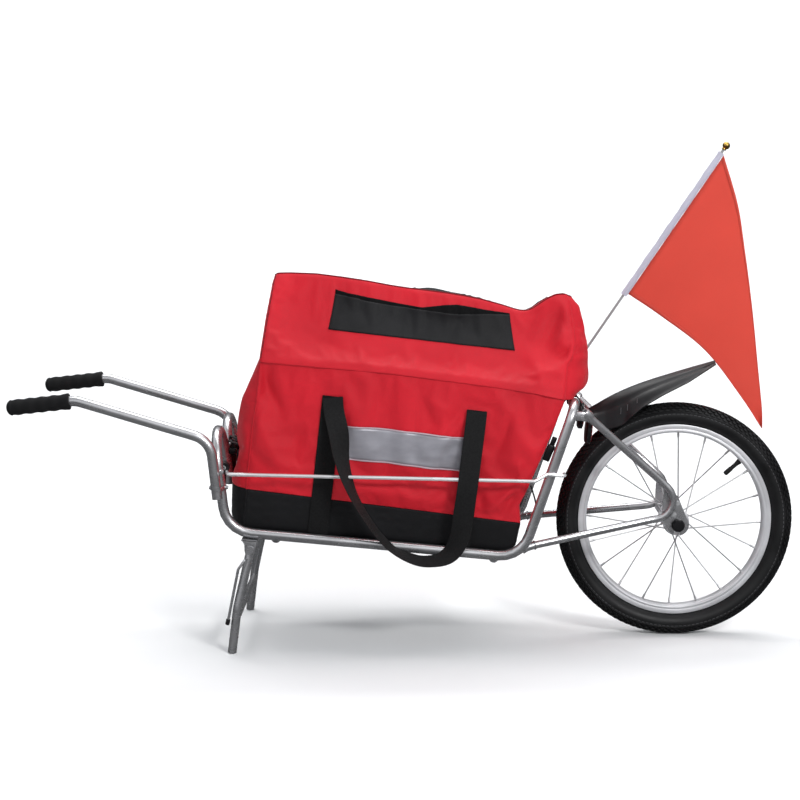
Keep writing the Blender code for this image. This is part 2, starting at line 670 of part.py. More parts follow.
def make_mudguard(paint, parents):
    """A long arched plastic blade over the tyre, on a strip that clips round the rear crossbar."""
    crown = smooth_route([(-0.163, 0, 0.1745), (-0.122, 0, 0.203), (-0.078, 0, 0.2265), (-0.0165, 0, 0.2525),
                          (0.0403, 0, 0.2747)], 3)
    columns = 8
    tops, bottoms = [], []
    for index, point in enumerate(crown):
        part = index / (len(crown) - 1)
        half = 0.031 + 0.011 * math.sin(math.pi * min(part * 1.25, 1)) - 0.022 * max(part - 0.75, 0) * 4
        drop = 0.030 + 0.016 * math.sin(math.pi * part) - 0.028 * part ** 1.5
        top, bottom = [], []
        for column in range(columns + 1):
            across = 2 * column / columns - 1
            place = point + Vector((0, half * across, -drop * abs(across) ** 1.7))
            inward = Vector((0.0009, -0.0016 * across, -0.0022))
            top.append(place)
            bottom.append(place + inward)
        tops.append(top)
        bottoms.append(bottom)
    pivot = (MUDGUARD_PIVOT[0], 0, MUDGUARD_PIVOT[1])
    bm = grid_shell(tops, bottoms)
    bmesh.ops.translate(bm, vec=-Vector(pivot), verts=bm.verts)
    add_mesh("mudguard", bm, paint["plastic"], parents["mudguard"], pivot)
    bar = (rear_upright_x(CROSSBAR_Z), CROSSBAR_Z)
    path = arc(bar, FRAME_TUBE + 2 * GAP, 215, 19, 14) + [(-0.176, 0.1632), (-0.158, 0.1632), (-0.118, 0.1905)]
    bracket = slab_body(strip_outline(path, 0.0022), -0.0095, 0.0095)
    bolt = rod_body((-0.1600, 0, 0.1605), (-0.1600, 0, 0.1678), 0.0045, 6)
    joined("mudguard_bracket", [bracket, bolt], paint["black_steel"], parents["frame"])


def make_reflector(side, sign, paint, parent):
    """A round red lens in a black cup that hangs under the crossbar's corner and faces back."""
    x, y, z = REFLECTOR_PLACE
    y *= sign
    cup = turned_body([(0, 0), (0.019, 0), (0.0225, 0.003), (0.0225, 0.009), (0.0212, 0.009), (0.0212, 0.005),
                       (0, 0.005)], 20)
    bmesh.ops.rotate(cup, matrix=Matrix.Rotation(math.radians(-90), 3, "Z"), verts=cup.verts)
    bmesh.ops.translate(cup, vec=(x, y, z), verts=cup.verts)
    bar_x = rear_upright_x(CROSSBAR_Z)
    hook = arc((bar_x, CROSSBAR_Z), FRAME_TUBE + 2 * GAP, 205, 28, 14) + [(x - 0.002, z + 0.024), (x + 0.0015, z)]
    strap = slab_body(strip_outline(hook, 0.0018), y - 0.006, y + 0.006)
    joined(f"reflector_housing_{side}", [cup, strap], paint["plastic"], parent)
    lens = turned_body([(0, 0.0053), (0.0209, 0.0053), (0.0209, 0.0092), (0.0185, 0.0105), (0, 0.0112)], 20)
    aim(add_mesh(f"reflector_lens_{side}", lens, paint["lens"], parent, (x, y, z)), (1, 0, 0))


def pole_direction():
    return Vector((math.sin(POLE_LEAN), 0, math.cos(POLE_LEAN)))


def make_flag(paint, parents):
    """The pole in its socket beside the right upright, its ball, and the pennant with its sleeve."""
    foot = Vector((POLE_FOOT[0], POLE_Y, POLE_FOOT[1]))
    along = pole_direction()
    bore = POLE_RADIUS + 0.0004
    socket = turned_body([(0, 0), (0.0066, 0), (0.0066, 0.058), (0.0058, 0.060), (bore, 0.060), (bore, 0.004),
                          (0, 0.004)], 14)
    turn = Vector((0, 1, 0)).rotation_difference(along).to_matrix().to_4x4()
    bmesh.ops.transform(socket, matrix=Matrix.Translation(foot) @ turn, verts=socket.verts)
    middle = foot + along * 0.020
    lug = box_body(
        (middle.x - 0.010, FRAME_Y + FRAME_TUBE + GAP, middle.z - 0.007),
        (middle.x + 0.012, POLE_Y - 0.004, middle.z + 0.007),
    )
    joined("flag_socket", [socket, lug], paint["steel"], parents["frame"])
    start = foot + along * (0.004 + GAP)
    pole_top = POLE_LENGTH - 0.009
    pole = [(0, 0), (POLE_RADIUS, 0), (POLE_RADIUS, pole_top), (0, pole_top)]
    aim(add_mesh("flag_pole", turned_body(pole, 12), paint["fibreglass"], parents["flag"], start), along)
    ball = [(0, 0)] + [(0.0068 * math.sin(a), 0.0088 - 0.0068 * math.cos(a)) for a in
                       (math.radians(35 + 145 * step / 8) for step in range(8))] + [(0, 0.0156)]
    top = start + along * (pole_top + GAP)
    aim(add_mesh("flag_ball", turned_body(ball, 16), paint["brass"], parents["flag"], top), along)
    sleeve = [(bore, 0), (0.0062, 0), (0.0062, SLEEVE_LENGTH), (bore, SLEEVE_LENGTH)]
    low = foot + along * SLEEVE_START
    aim(add_mesh("flag_sleeve", turned_body(sleeve, 14), paint["sleeve"], parents["flag"], low), along)
    across = Vector((along.z, 0, -along.x))
    edge = 0.0062 + GAP
    corners = [low + across * edge, low + along * (SLEEVE_LENGTH - 0.002) + across * edge]
    corners.append(Vector((FLAG_TIP[0], POLE_Y, FLAG_TIP[1])))
    side_bow = (corners[1] + corners[2]) / 2 + Vector((0.026, 0, 0.016))
    outline = [(p.x, p.z) for p in (corners[0], corners[1], side_bow, corners[2])]
    add_mesh("flag", slab_body(outline, POLE_Y - 0.0005, POLE_Y + 0.0005), paint["flag"], parents["flag"])


def rounded_ring(x_low, x_high, half, radius, z_front, z_back):
    """A rectangle with rounded corners whose height runs from z_front to z_back along X."""
    points = []
    corners = ((x_high, half, 0), (x_low, half, 90), (x_low, -half, 180), (x_high, -half, 270))
    for x, y, start in corners:
        centre_x = x - math.copysign(radius, x - (x_low + x_high) / 2)
        centre_y = y - math.copysign(radius, y)
        for step in range(4):
            angle = math.radians(start + 90 * step / 3)
            place_x = centre_x + radius * math.cos(angle)
            part = (place_x - x_low) / (x_high - x_low)
            height = z_front + (z_back - z_front) * part
            points.append(Vector((place_x, centre_y + radius * math.sin(angle), height)))
    return points


def lofted_body(rings):
    bm = bmesh.new()
    rows = [[bm.verts.new(point) for point in ring] for ring in rings]
    count = len(rows[0])
    bm.faces.new(rows[0][::-1])
    bm.faces.new(rows[-1])
    for one, other in zip(rows, rows[1:]):
        for index in range(count):
            following = (index + 1) % count
            bm.faces.new((one[index], one[following], other[following], other[index]))
    return bm


def make_bag(paint, parent):
    """The bag's black tub, its red box and its red lid, as plain closed bodies."""
    floor = BAG_FLOOR_Z
    tub = [rounded_ring(-0.722, -0.296, 0.112, 0.02, floor, floor),
           rounded_ring(-0.731, -0.286, 0.1175, 0.025, floor + 0.012, floor + 0.010),
           rounded_ring(-0.7415, -0.270, 0.1190, 0.025, 0.0075 - GAP, -0.0096 - GAP)]
    add_mesh("bag_base", lofted_body(tub), paint["black_cloth"], parent)
    box = [rounded_ring(-0.7415, -0.270, 0.1190, 0.025, 0.0075, -0.0096),
           rounded_ring(-0.7340, -0.250, 0.1290, 0.025, 0.10, 0.10),
           rounded_ring(-0.7180, -0.223, 0.1260, 0.025, BAG_SEAM_Z - GAP, BAG_SEAM_Z - GAP)]
    add_mesh("bag_body", lofted_body(box), paint["red_cloth"], parent)
    lid = [rounded_ring(-0.7180, -0.223, 0.1260, 0.025, BAG_SEAM_Z, BAG_SEAM_Z),
           rounded_ring(-0.7140, -0.2135, 0.0980, 0.022, 0.292, 0.300),
           rounded_ring(-0.7070, -0.2110, 0.0520, 0.018, BAG_TOP_Z - 0.008, BAG_TOP_Z + 0.004)]
    add_mesh("bag_lid", lofted_body(lid), paint["red_cloth"], parent)


def make_carry_handle(side, sign, paint, parent):
    """A free loop of webbing that hangs outside the guard rod and the rail."""
    route = smooth_route(
        [(-0.590, 0.1335, 0.176), (-0.583, 0.140, 0.122), (-0.572, 0.1575, 0.062), (-0.555, 0.158, 0.010),
         (-0.512, 0.158, -0.058), (-0.438, 0.158, -0.088), (-0.376, 0.158, -0.060), (-0.358, 0.158, 0.005),
         (-0.356, 0.1575, 0.060), (-0.357, 0.140, 0.120), (-0.358, 0.1335, 0.176)], 2)
    rows = []
    for index, point in enumerate(route):
        before, after = route[max(index - 1, 0)], route[min(index + 1, len(route) - 1)]
        along = Vector((after.x - before.x, 0, after.z - before.z)).normalized()
        across = Vector((-along.z, 0, along.x)) * (WEBBING / 2)
        rows.append([point + across * part for part in (-1, 1)])
    tops = [[Vector((p.x, sign * (p.y + 0.001), p.z)) for p in row] for row in rows]
    bottoms = [[Vector((p.x, sign * (p.y - 0.001), p.z)) for p in row] for row in rows]
    add_mesh(f"carry_handle_{side}", grid_shell(tops, bottoms), paint["webbing"], parent)


def make_paints():
    return {
        "steel": make_material("silver_tube", (0.50, 0.50, 0.51), 0.35, 0.9),
        "alloy": make_material("satin_alloy", (0.62, 0.62, 0.63), 0.32, 1.0),
        "spoke": make_material("spoke_wire", (0.55, 0.55, 0.55), 0.3, 1.0),
        "black_steel": make_material("black_coated_steel", (0.02, 0.02, 0.022), 0.4, 0.3),
        "plastic": make_material("black_plastic", (0.018, 0.018, 0.02), 0.5),
        "rubber": make_material("black_rubber", (0.015, 0.015, 0.016), 0.75),
        "foam": make_material("black_foam", (0.012, 0.012, 0.013), 0.85),
        "lens": make_material("red_lens", (0.35, 0.01, 0.01), 0.15),
        "brass": make_material("brass_ball", (0.55, 0.38, 0.10), 0.3, 1.0),
        "fibreglass": make_material("white_fibreglass", (0.78, 0.78, 0.80), 0.4),
        "sleeve": make_material("white_sleeve", (0.62, 0.60, 0.68), 0.8),
        "flag": make_material("orange_red_nylon", (0.80, 0.06, 0.04), 0.7),
        "red_cloth": make_material("red_oxford_cloth", (0.60, 0.015, 0.025), 0.7),
        "black_cloth": make_material("black_oxford_cloth", (0.02, 0.02, 0.024), 0.75),
        "webbing": make_material("black_webbing", (0.015, 0.015, 0.017), 0.7),
    }


def make_parents():
    """The level frame, tilted as parked, and one empty on each joint's axis."""
    frame = make_empty("trailer_frame", (AXLE_X, 0, WHEEL_RADIUS))
    frame.rotation_euler = (0, PARK_ANGLE, 0)
    places = {
        "wheel": (0, 0, 0),
        "stand": (STAND_PIVOT[0], 0, STAND_PIVOT[1]),
        "lever": (LEVER_PIVOT[0], 0, LEVER_PIVOT[1]),
        "mudguard": (MUDGUARD_PIVOT[0], 0, MUDGUARD_PIVOT[1]),
        "yaw": (HITCH_X, 0, 0),
        "flag": (POLE_FOOT[0], POLE_Y, POLE_FOOT[1]),
    }
    parents = {"frame": frame}
    for name, place in places.items():
        empty = make_empty(f"{name}_axis", place, frame)
        empty["level_place"] = place
        parents[name] = empty
    return parents


def main():
    clear_scene()
    paint = make_paints()
    parents = make_parents()
    frame = parents["frame"]
    for side, sign in SIDES:
        make_side_frame(side, sign, paint["steel"], frame)
        make_handle(side, sign, paint["steel"], paint["foam"], frame)
        make_arm_clamp(side, sign, paint["steel"], frame)
        make_guard_rod(side, sign, paint["steel"], frame)
        make_stay(side, sign, paint["steel"], frame)
        make_dropout(side, sign, paint["steel"], frame)
        make_stay_gusset(side, sign, paint["steel"], frame)
        make_reflector(side, sign, paint, frame)
        make_carry_handle(side, sign, paint, frame)
    make_rear_crossbar(paint["steel"], frame)
    make_floor(paint["steel"], paint["black_steel"], frame)
    make_hitch(paint, parents)
    make_axle(paint["steel"], paint["rubber"], frame)
    make_wheel(paint, parents["wheel"])
    make_stand(paint, parents)
    make_lever(paint, parents["lever"])
    make_mudguard(paint, parents)
    make_flag(paint, parents)
    make_bag(paint, frame)


main()
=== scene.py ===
"""Looks for a single-wheel bicycle cargo trailer with a soft luggage bag, a double stand and a safety flag.

Pieces are laid out in the trailer's own level frame: X runs back from the handles to the wheel, Y runs across
to the right-hand side, Z is up, and the origin is the wheel's centre. LEVEL turns that frame as it is parked.
"""

import json
import math

import bmesh
import bpy
import numpy as np
from mathutils import Matrix, Vector, noise
from mathutils.bvhtree import BVHTree


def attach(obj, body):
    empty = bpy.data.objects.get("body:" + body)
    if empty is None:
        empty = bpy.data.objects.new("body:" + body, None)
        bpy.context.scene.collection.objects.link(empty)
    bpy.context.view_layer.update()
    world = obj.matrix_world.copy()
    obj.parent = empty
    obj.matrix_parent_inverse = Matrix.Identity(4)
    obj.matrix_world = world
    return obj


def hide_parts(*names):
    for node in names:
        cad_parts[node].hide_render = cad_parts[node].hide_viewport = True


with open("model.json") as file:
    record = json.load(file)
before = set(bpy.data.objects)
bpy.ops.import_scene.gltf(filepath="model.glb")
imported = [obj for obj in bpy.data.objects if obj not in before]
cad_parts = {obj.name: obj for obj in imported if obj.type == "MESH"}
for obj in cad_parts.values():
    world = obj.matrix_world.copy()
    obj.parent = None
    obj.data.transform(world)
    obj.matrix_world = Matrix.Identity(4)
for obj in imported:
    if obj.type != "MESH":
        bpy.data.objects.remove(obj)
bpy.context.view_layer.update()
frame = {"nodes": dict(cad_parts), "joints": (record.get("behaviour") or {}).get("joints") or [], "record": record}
NODES = frame["nodes"]
SIDES = (("left", -1), ("right", 1))

JOINTS = {joint["name"]: joint for joint in frame["joints"]}
AXLE = Vector(JOINTS["wheel_spin"]["pos_m"])
YAW_AXIS = Vector(JOINTS["hitch_yaw"]["axis"])
LEVEL = Matrix.Translation(AXLE) @ Matrix.Rotation(math.atan2(YAW_AXIS.x, YAW_AXIS.z), 4, "Y")


# ---------------------------------------------------------------- materials


def add_node(tree, kind, links=(), **settings):
    """A new node. Each setting is an input's value or, where there is no such input, the node's own property."""
    made = tree.nodes.new(kind)
    for key, value in settings.items():
        if key in made.inputs:
            made.inputs[key].default_value = value
        else:
            setattr(made, key, value)
    for key, source in links:
        tree.links.new(source, made.inputs[key])
    return made


class Paint:
    """A Principled material whose inputs are fed by small procedural networks."""

    def __init__(self, name, colour, roughness, **constants):
        self.material = bpy.data.materials.new(name)
        self.material.use_nodes = True
        self.tree = self.material.node_tree
        self.shader = self.tree.nodes["Principled BSDF"]
        self.shader.inputs["Base Color"].default_value = (*colour, 1.0)
        self.shader.inputs["Roughness"].default_value = roughness
        for key, value in constants.items():
            self.shader.inputs[key.replace("_", " ")].default_value = value
        self.colour = colour
        self.roughness = roughness
        self.place = self.node("ShaderNodeTexCoord").outputs["Object"]
        self.height = None

    def node(self, kind, links=(), **settings):
        return add_node(self.tree, kind, links, **settings)

    def stretched(self, scale):
        """Coordinates scaled separately along X, Y and Z."""
        mapping = self.node("ShaderNodeMapping", [("Vector", self.place)], Scale=scale)
        return mapping.outputs["Vector"]

    def noise(self, scale, detail=3.0, vector=None):
        made = self.node("ShaderNodeTexNoise", [("Vector", vector or self.place)], Scale=scale, Detail=detail)
        return made.outputs["Fac"]

    def remap(self, value, low, high):
        """A noise's usual range, 0.3 to 0.7, stretched to run from low to high."""
        ends = {"From Min": 0.3, "From Max": 0.7, "To Min": low, "To Max": high}
        return self.node("ShaderNodeMapRange", [("Value", value)], **ends).outputs["Result"]

    def math(self, operation, one, other):
        made = self.node("ShaderNodeMath", operation=operation)
        for index, value in enumerate((one, other)):
            if isinstance(value, (int, float)):
                made.inputs[index].default_value = value
            else:
                self.tree.links.new(value, made.inputs[index])
        return made.outputs["Value"]

    def vary_colour(self, value, dark, light):
        """Colour that runs from dark to light times the base colour as the value goes from 0 to 1."""
        ramp = self.node("ShaderNodeValToRGB", [("Fac", value)])
        ramp.color_ramp.elements[0].color = (*[c * dark for c in self.colour], 1.0)
        ramp.color_ramp.elements[1].color = (*[min(c * light, 1.0) for c in self.colour], 1.0)
        self.tree.links.new(ramp.outputs["Color"], self.shader.inputs["Base Color"])
        return ramp

    def vary_roughness(self, value, spread):
        source = self.remap(value, max(self.roughness - spread, 0.05), min(self.roughness + spread, 1.0))
        self.tree.links.new(source, self.shader.inputs["Roughness"])

    def bump(self, value, distance, strength=1.0):
        made = self.node("ShaderNodeBump", [("Height", value)], Distance=distance, Strength=strength)
        if self.height is not None:
            self.tree.links.new(self.height, made.inputs["Normal"])
        self.height = made.outputs["Normal"]
        self.tree.links.new(self.height, self.shader.inputs["Normal"])

    def wave(self, scale, direction, vector=None, profile="SIN"):
        made = self.node("ShaderNodeTexWave", [("Vector", vector or self.place)], bands_direction=direction,
                         wave_profile=profile, Scale=scale)
        return made.outputs["Fac"]


def metal_paint(name, colour, roughness, metallic, grain=900.0, spread=0.08):
    """Coated or bare metal with faint clouding, fine grain, and long light scuffs."""
    paint = Paint(name, colour, roughness, Metallic=metallic)
    cloud = paint.noise(14.0, 4.0)
    paint.vary_colour(paint.remap(cloud, 0.0, 1.0), 0.86, 1.08)
    fine = paint.noise(grain, 2.0)
    scuff = paint.noise(60.0, 5.0, paint.stretched((0.15, 1.0, 1.0)))
    mixed = paint.math("MULTIPLY_ADD", cloud, 0.45)
    paint.tree.links.new(paint.math("MULTIPLY", scuff, 0.55), mixed.node.inputs[2])
    paint.vary_roughness(mixed, spread)
    paint.bump(fine, 0.00004, 0.5)
    paint.bump(scuff, 0.00012, 0.35)
    return paint.material


def cloth_paint(name, colour, roughness, thread=0.0007, sheen=0.04, shade=(0.80, 1.10), specular=0.2):
    """Plain-woven cloth: two crossed sets of threads, slubs, soft clouding and a faint sheen."""
    paint = Paint(name, colour, roughness, Sheen_Weight=sheen, Sheen_Roughness=0.45, Specular_IOR_Level=specular)
    scale = 1.0 / thread / 2.0
    slub = paint.noise(420.0, 3.0)
    warp = paint.wave(scale, "X")
    weft = paint.wave(scale, "Z")
    across = paint.wave(scale, "Y")
    weave = paint.math("MAXIMUM", paint.math("MULTIPLY", warp, weft), paint.math("MULTIPLY", across, weft))
    cloud = paint.noise(9.0, 5.0)
    tone = paint.math("ADD", paint.math("MULTIPLY", cloud, 0.75), paint.math("MULTIPLY", slub, 0.25))
    paint.vary_colour(paint.remap(tone, 0.0, 1.0), *shade)
    paint.vary_roughness(slub, 0.08)
    paint.bump(weave, 0.00010, 0.55)
    paint.bump(slub, 0.00012, 0.4)
    return paint.material


def webbing_paint(name, colour):
    """Ribbed webbing. The ribs follow the piece's own UV, across the band and slanted along it."""
    paint = Paint(name, colour, 0.68, Sheen_Weight=0.03, Sheen_Roughness=0.4, Specular_IOR_Level=0.25)
    uv = paint.node("ShaderNodeUVMap").outputs["UV"]
    ribs = paint.wave(26.0, "Y", uv)
    twill = paint.wave(40.0, "DIAGONAL", uv)
    height = paint.math("ADD", paint.math("MULTIPLY", ribs, 0.7), paint.math("MULTIPLY", twill, 0.3))
    paint.vary_colour(paint.math("MULTIPLY", height, 0.8), 0.7, 1.5)
    paint.vary_roughness(paint.noise(300.0), 0.1)
    paint.bump(height, 0.00025, 0.7)
    return paint.material


def moulded_paint(name, colour, roughness, grain=600.0, depth=0.00012, light=1.35, specular=0.3):
    """Moulded plastic or rubber with a pebbled grain and slightly shiny handling marks."""
    paint = Paint(name, colour, roughness, Specular_IOR_Level=specular)
    pebble = paint.node("ShaderNodeTexVoronoi", [("Vector", paint.place)], Scale=grain)
    wear = paint.noise(25.0, 6.0)
    paint.vary_colour(paint.remap(wear, 0.0, 1.0), 0.8, light)
    paint.vary_roughness(wear, 0.1)
    paint.bump(pebble.outputs["Distance"], depth, 0.5)
    return paint.material


def turned_paint(name, colour, roughness):
    """Satin anodised alloy with fine rings about the wheel's axle."""
    paint = Paint(name, colour, roughness, Metallic=0.5)
    offset = paint.node("ShaderNodeVectorMath", [(0, paint.place)], operation="SUBTRACT")
    offset.inputs[1].default_value = AXLE
    flat = paint.node("ShaderNodeVectorMath", [(0, offset.outputs["Vector"])], operation="MULTIPLY")
    flat.inputs[1].default_value = (1.0, 0.0, 1.0)
    radius = paint.node("ShaderNodeVectorMath", [(0, flat.outputs["Vector"])], operation="LENGTH")
    rings = paint.node("ShaderNodeTexNoise", [("W", radius.outputs["Value"])], noise_dimensions="1D", Scale=2600.0)
    cloud = paint.noise(18.0, 4.0)
    paint.vary_colour(paint.remap(cloud, 0.0, 1.0), 0.88, 1.06)
    paint.vary_roughness(paint.math("MULTIPLY", paint.math("ADD", rings.outputs["Fac"], cloud), 0.5), 0.1)
    paint.bump(rings.outputs["Fac"], 0.00005, 0.5)
    return paint.material


def lens_paint():
    """Glossy red moulding with small square prisms under a smooth face."""
    paint = Paint("red_lens_prisms", (0.30, 0.004, 0.006), 0.12, Coat_Weight=0.8, Coat_Roughness=0.05)
    prism = paint.math("ADD", paint.wave(95.0, "Z", profile="TRI"), paint.wave(95.0, "Y", profile="TRI"))
    paint.vary_colour(paint.math("MULTIPLY", prism, 0.5), 0.5, 2.2)
    paint.bump(prism, 0.0005, 0.8)
    return paint.material


def reflective_paint():
    """Grey retroreflective tape: a silvery face with a fine cell pattern and soft creases."""
    paint = Paint("reflective_tape", (0.29, 0.285, 0.315), 0.42, Metallic=0.25)
    cells = paint.node("ShaderNodeTexVoronoi", [("Vector", paint.place)], feature="DISTANCE_TO_EDGE", Scale=420.0)
    crease = paint.noise(22.0, 5.0, paint.stretched((1.0, 1.0, 2.5)))
    paint.vary_colour(paint.remap(crease, 0.0, 1.0), 0.85, 1.12)
    paint.vary_roughness(crease, 0.1)
    paint.bump(cells.outputs["Distance"], 0.00006, 0.5)
    paint.bump(crease, 0.0008, 0.35)
    return paint.material


def flag_paint():
    """Thin bright nylon that lets some light through."""
    material = cloth_paint("flag_nylon", (0.72, 0.090, 0.062), 0.62, thread=0.0005, sheen=0.1, shade=(0.93, 1.06))
    tree = material.node_tree
    shader = tree.nodes["Principled BSDF"]
    glow = add_node(tree, "ShaderNodeBsdfTranslucent", Color=(0.95, 0.15, 0.10, 1.0))
    mix = add_node(tree, "ShaderNodeMixShader", [(1, shader.outputs["BSDF"]), (2, glow.outputs["BSDF"])], Fac=0.28)
    tree.links.new(mix.outputs["Shader"], tree.nodes["Material Output"].inputs["Surface"])
    return material


PAINT = {
    "silver_tube": metal_paint("silver_tube_coat", (0.54, 0.54, 0.555), 0.27, 0.88),
    "satin_alloy": turned_paint("satin_alloy_spun", (0.66, 0.66, 0.68), 0.42),
    "spoke_wire": metal_paint("spoke_wire_drawn", (0.52, 0.52, 0.53), 0.34, 0.6),
    "black_coated_steel": metal_paint("black_steel_coat", (0.008, 0.008, 0.009), 0.36, 0.1, grain=500.0),
    "black_plastic": moulded_paint("black_plastic_grain", (0.006, 0.006, 0.007), 0.36, specular=0.22),
    "black_foam": moulded_paint("black_foam_cells", (0.006, 0.006, 0.0065), 0.80, 900.0, 0.0004, specular=0.2),
    "red_lens": lens_paint(),
    "black_rubber": moulded_paint("black_rubber_skin", (0.006, 0.006, 0.0065), 0.58, 800.0),
    "tyre_rubber": moulded_paint("tyre_rubber_skin", (0.0055, 0.0055, 0.006), 0.50, 700.0, 0.00015, light=1.6),
    "brass_ball": metal_paint("brass_polished", (0.50, 0.33, 0.09), 0.25, 1.0),
    "white_fibreglass": moulded_paint("grey_white_rod", (0.33, 0.33, 0.335), 0.4, 1200.0, 0.00003, light=1.05),
    "white_sleeve": cloth_paint("white_sleeve_cloth", (0.50, 0.49, 0.58), 0.75, 0.0006, shade=(0.9, 1.05)),
    "orange_red_nylon": flag_paint(),
    "red_oxford_cloth": cloth_paint("red_oxford_weave", (0.56, 0.0095, 0.021), 0.58),
    "black_oxford_cloth": cloth_paint("black_oxford_weave", (0.0062, 0.0062, 0.0072), 0.60, shade=(0.7, 1.35)),
    "black_webbing": webbing_paint("black_webbing_ribs", (0.0050, 0.0050, 0.0055)),
}
TAPE = reflective_paint()
TRIM = cloth_paint("light_trim_cloth", (0.48, 0.36, 0.40), 0.6, shade=(0.9, 1.05))
DARK_RED = cloth_paint("dark_red_binding", (0.16, 0.004, 0.009), 0.6)
# Black cloth painted darker than the bag's black cloth and without sheen, as painted shade in the pocket's mouth and
# on the hem above it.
POCKET_SHADE_CLOTH = cloth_paint("pocket_mouth_painted_shade", (0.0022, 0.0022, 0.0026), 0.7, sheen=0.0, specular=0.1)
BRIGHT_ROD = metal_paint("bright_rod_coat", (0.80, 0.80, 0.81), 0.24, 0.6)
# Rubber painted lighter grey than the black rubber, as painted highlights on small ribs and edges.
EDGE_HIGHLIGHT_RUBBER = moulded_paint("rubber_painted_edge_highlights", (0.055, 0.055, 0.058), 0.6, 700.0, 0.00015)
BLACK_THREAD = cloth_paint("black_thread", (0.016, 0.016, 0.018), 0.6)


# ---------------------------------------------------------------- building helpers


def add_piece(name, shape, slot, body, replaces=(), paint=None, smooth=40.0, level=True):
    """Makes a piece from a bmesh or a mesh given in the level frame, and lets it ride on a body."""
    mesh = shape
    if isinstance(shape, bmesh.types.BMesh):
        mesh = bpy.data.meshes.new(name)
        shape.to_mesh(mesh)
        shape.free()
    if level:
        mesh.transform(LEVEL)
    mesh.materials.clear()
    mesh.materials.append(paint or PAINT[slot])
    if smooth is not None:
        mesh.shade_smooth()
        mesh.set_sharp_from_angle(angle=math.radians(smooth))
    obj = bpy.data.objects.new(name, mesh)
    bpy.context.scene.collection.objects.link(obj)
    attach(obj, body)
    if replaces:
        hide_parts(*replaces)
    return obj


def on_side(sign, point):
    """A point given for the right-hand side, on the side that the sign tells."""
    x, y, z = point
    return Vector((x, sign * y, z))


def angles(count):
    """A full turn in equal steps."""
    return [2 * math.pi * step / count for step in range(count)]


def mirrored(half):
    """A (radius, y) outline that ends in the middle plane, carried on through its mirror image."""
    return half + [(radius, -y) for radius, y in half[-2::-1]]


def skin(bm, rows, closed=False):
    """Four-sided faces between rows that have the same number of vertices."""
    for one, other in zip(rows, rows[1:]):
        for index in range(len(one) - (not closed)):
            after = (index + 1) % len(one)
            bm.faces.new((one[index], one[after], other[after], other[index]))


def turned(profile, steps, closed=False):
    """A surface turned about +Y from (radius, y) points. A radius of 0 is a point on the axis."""
    bm = bmesh.new()
    rings = []
    for radius, along in profile:
        if radius == 0:
            rings.append([bm.verts.new((0, along, 0))])
        else:
            rings.append([bm.verts.new((radius * math.cos(a), along, radius * math.sin(a))) for a in angles(steps)])
    pairs = list(zip(rings, rings[1:]))
    if closed:
        pairs.append((rings[-1], rings[0]))
    for one, other in pairs:
        if len(one) == len(other) == 1:
            continue
        for step in range(steps):
            after = (step + 1) % steps
            corners = [one[step], one[after]] if len(one) > 1 else [one[0]]
            corners += [other[after], other[step]] if len(other) > 1 else [other[0]]
            bm.faces.new(corners)
    bmesh.ops.recalc_face_normals(bm, faces=bm.faces)
    return bm


def placed(bm, direction, place):
    """Turns a body made along +Y to the direction, and moves it to the place."""
    turn = Vector((0, 1, 0)).rotation_difference(Vector(direction)).to_matrix().to_4x4()
    bmesh.ops.transform(bm, matrix=Matrix.Translation(Vector(place)) @ turn, verts=bm.verts)
    return bm


def merged(bodies):
    """One bmesh that holds all the given ones."""
    whole = bmesh.new()
    for bm in bodies:
        part = bpy.data.meshes.new("part")
        bm.to_mesh(part)
        bm.free()
        whole.from_mesh(part)
        bpy.data.meshes.remove(part)
    return whole


def smooth_route(points, steps):
    """A Catmull-Rom curve through the points."""
    points = [Vector(point) for point in points]
    padded = [2 * points[0] - points[1], *points, 2 * points[-1] - points[-2]]
    route = []
    for p0, p1, p2, p3 in zip(padded, padded[1:], padded[2:], padded[3:]):
        for step in range(steps):
            t = step / steps
            route.append(
                0.5 * (2 * p1 + (p2 - p0) * t + (2 * p0 - 5 * p1 + 4 * p2 - p3) * t * t
                       + (3 * p1 - p0 - 3 * p2 + p3) * t ** 3)
            )
    return route + [points[-1]]


def along_route(route, part):
    """The point a part of the way along a route."""
    reach = part * sum((other - one).length for one, other in zip(route, route[1:]))
    for one, other in zip(route, route[1:]):
        step = (other - one).length
        if step >= reach:
            return one.lerp(other, reach / step)
        reach -= step
    return route[-1].copy()


def heading(route, index):
    """The direction of a route at one of its points."""
    return (route[min(index + 1, len(route) - 1)] - route[max(index - 1, 0)]).normalized()


def wire(route, radius, sides=8):
    """A round wire with flat ends along a route."""
    route = [Vector(point) for point in route]
    bm = bmesh.new()
    rings = []
    normal = None
    for index, point in enumerate(route):
        along = heading(route, index)
        if normal is None:
            normal = along.orthogonal().normalized()
        normal = (normal - along * normal.dot(along)).normalized()
        across = along.cross(normal)
        rings.append([bm.verts.new(point + normal * (radius * math.cos(a)) + across * (radius * math.sin(a)))
                      for a in angles(sides)])
    skin(bm, rings, closed=True)
    bm.faces.new(rings[0][::-1])
    bm.faces.new(rings[-1])
    bmesh.ops.recalc_face_normals(bm, faces=bm.faces)
    return bm


def soften(bm, bevel):
    bmesh.ops.bevel(bm, geom=bm.edges[:], offset=bevel, segments=2, affect="EDGES", profile=0.5)


def block(low, high, bevel=0.0):
    """A box between two corners, with its edges rounded off."""
    bm = bmesh.new()
    bmesh.ops.create_cube(bm, size=1.0)
    low, high = Vector(low), Vector(high)
    for vert in bm.verts:
        vert.co = Vector([low[i] + (vert.co[i] + 0.5) * (high[i] - low[i]) for i in range(3)])
    if bevel:
        soften(bm, bevel)
    return bm


def side_block(sign, low, high, bevel):
    """A block whose corners are given for the right-hand side."""
    (x0, y0, z0), (x1, y1, z1) = low, high
    y0, y1 = sorted((sign * y0, sign * y1))
    return block((x0, y0, z0), (x1, y1, z1), bevel)


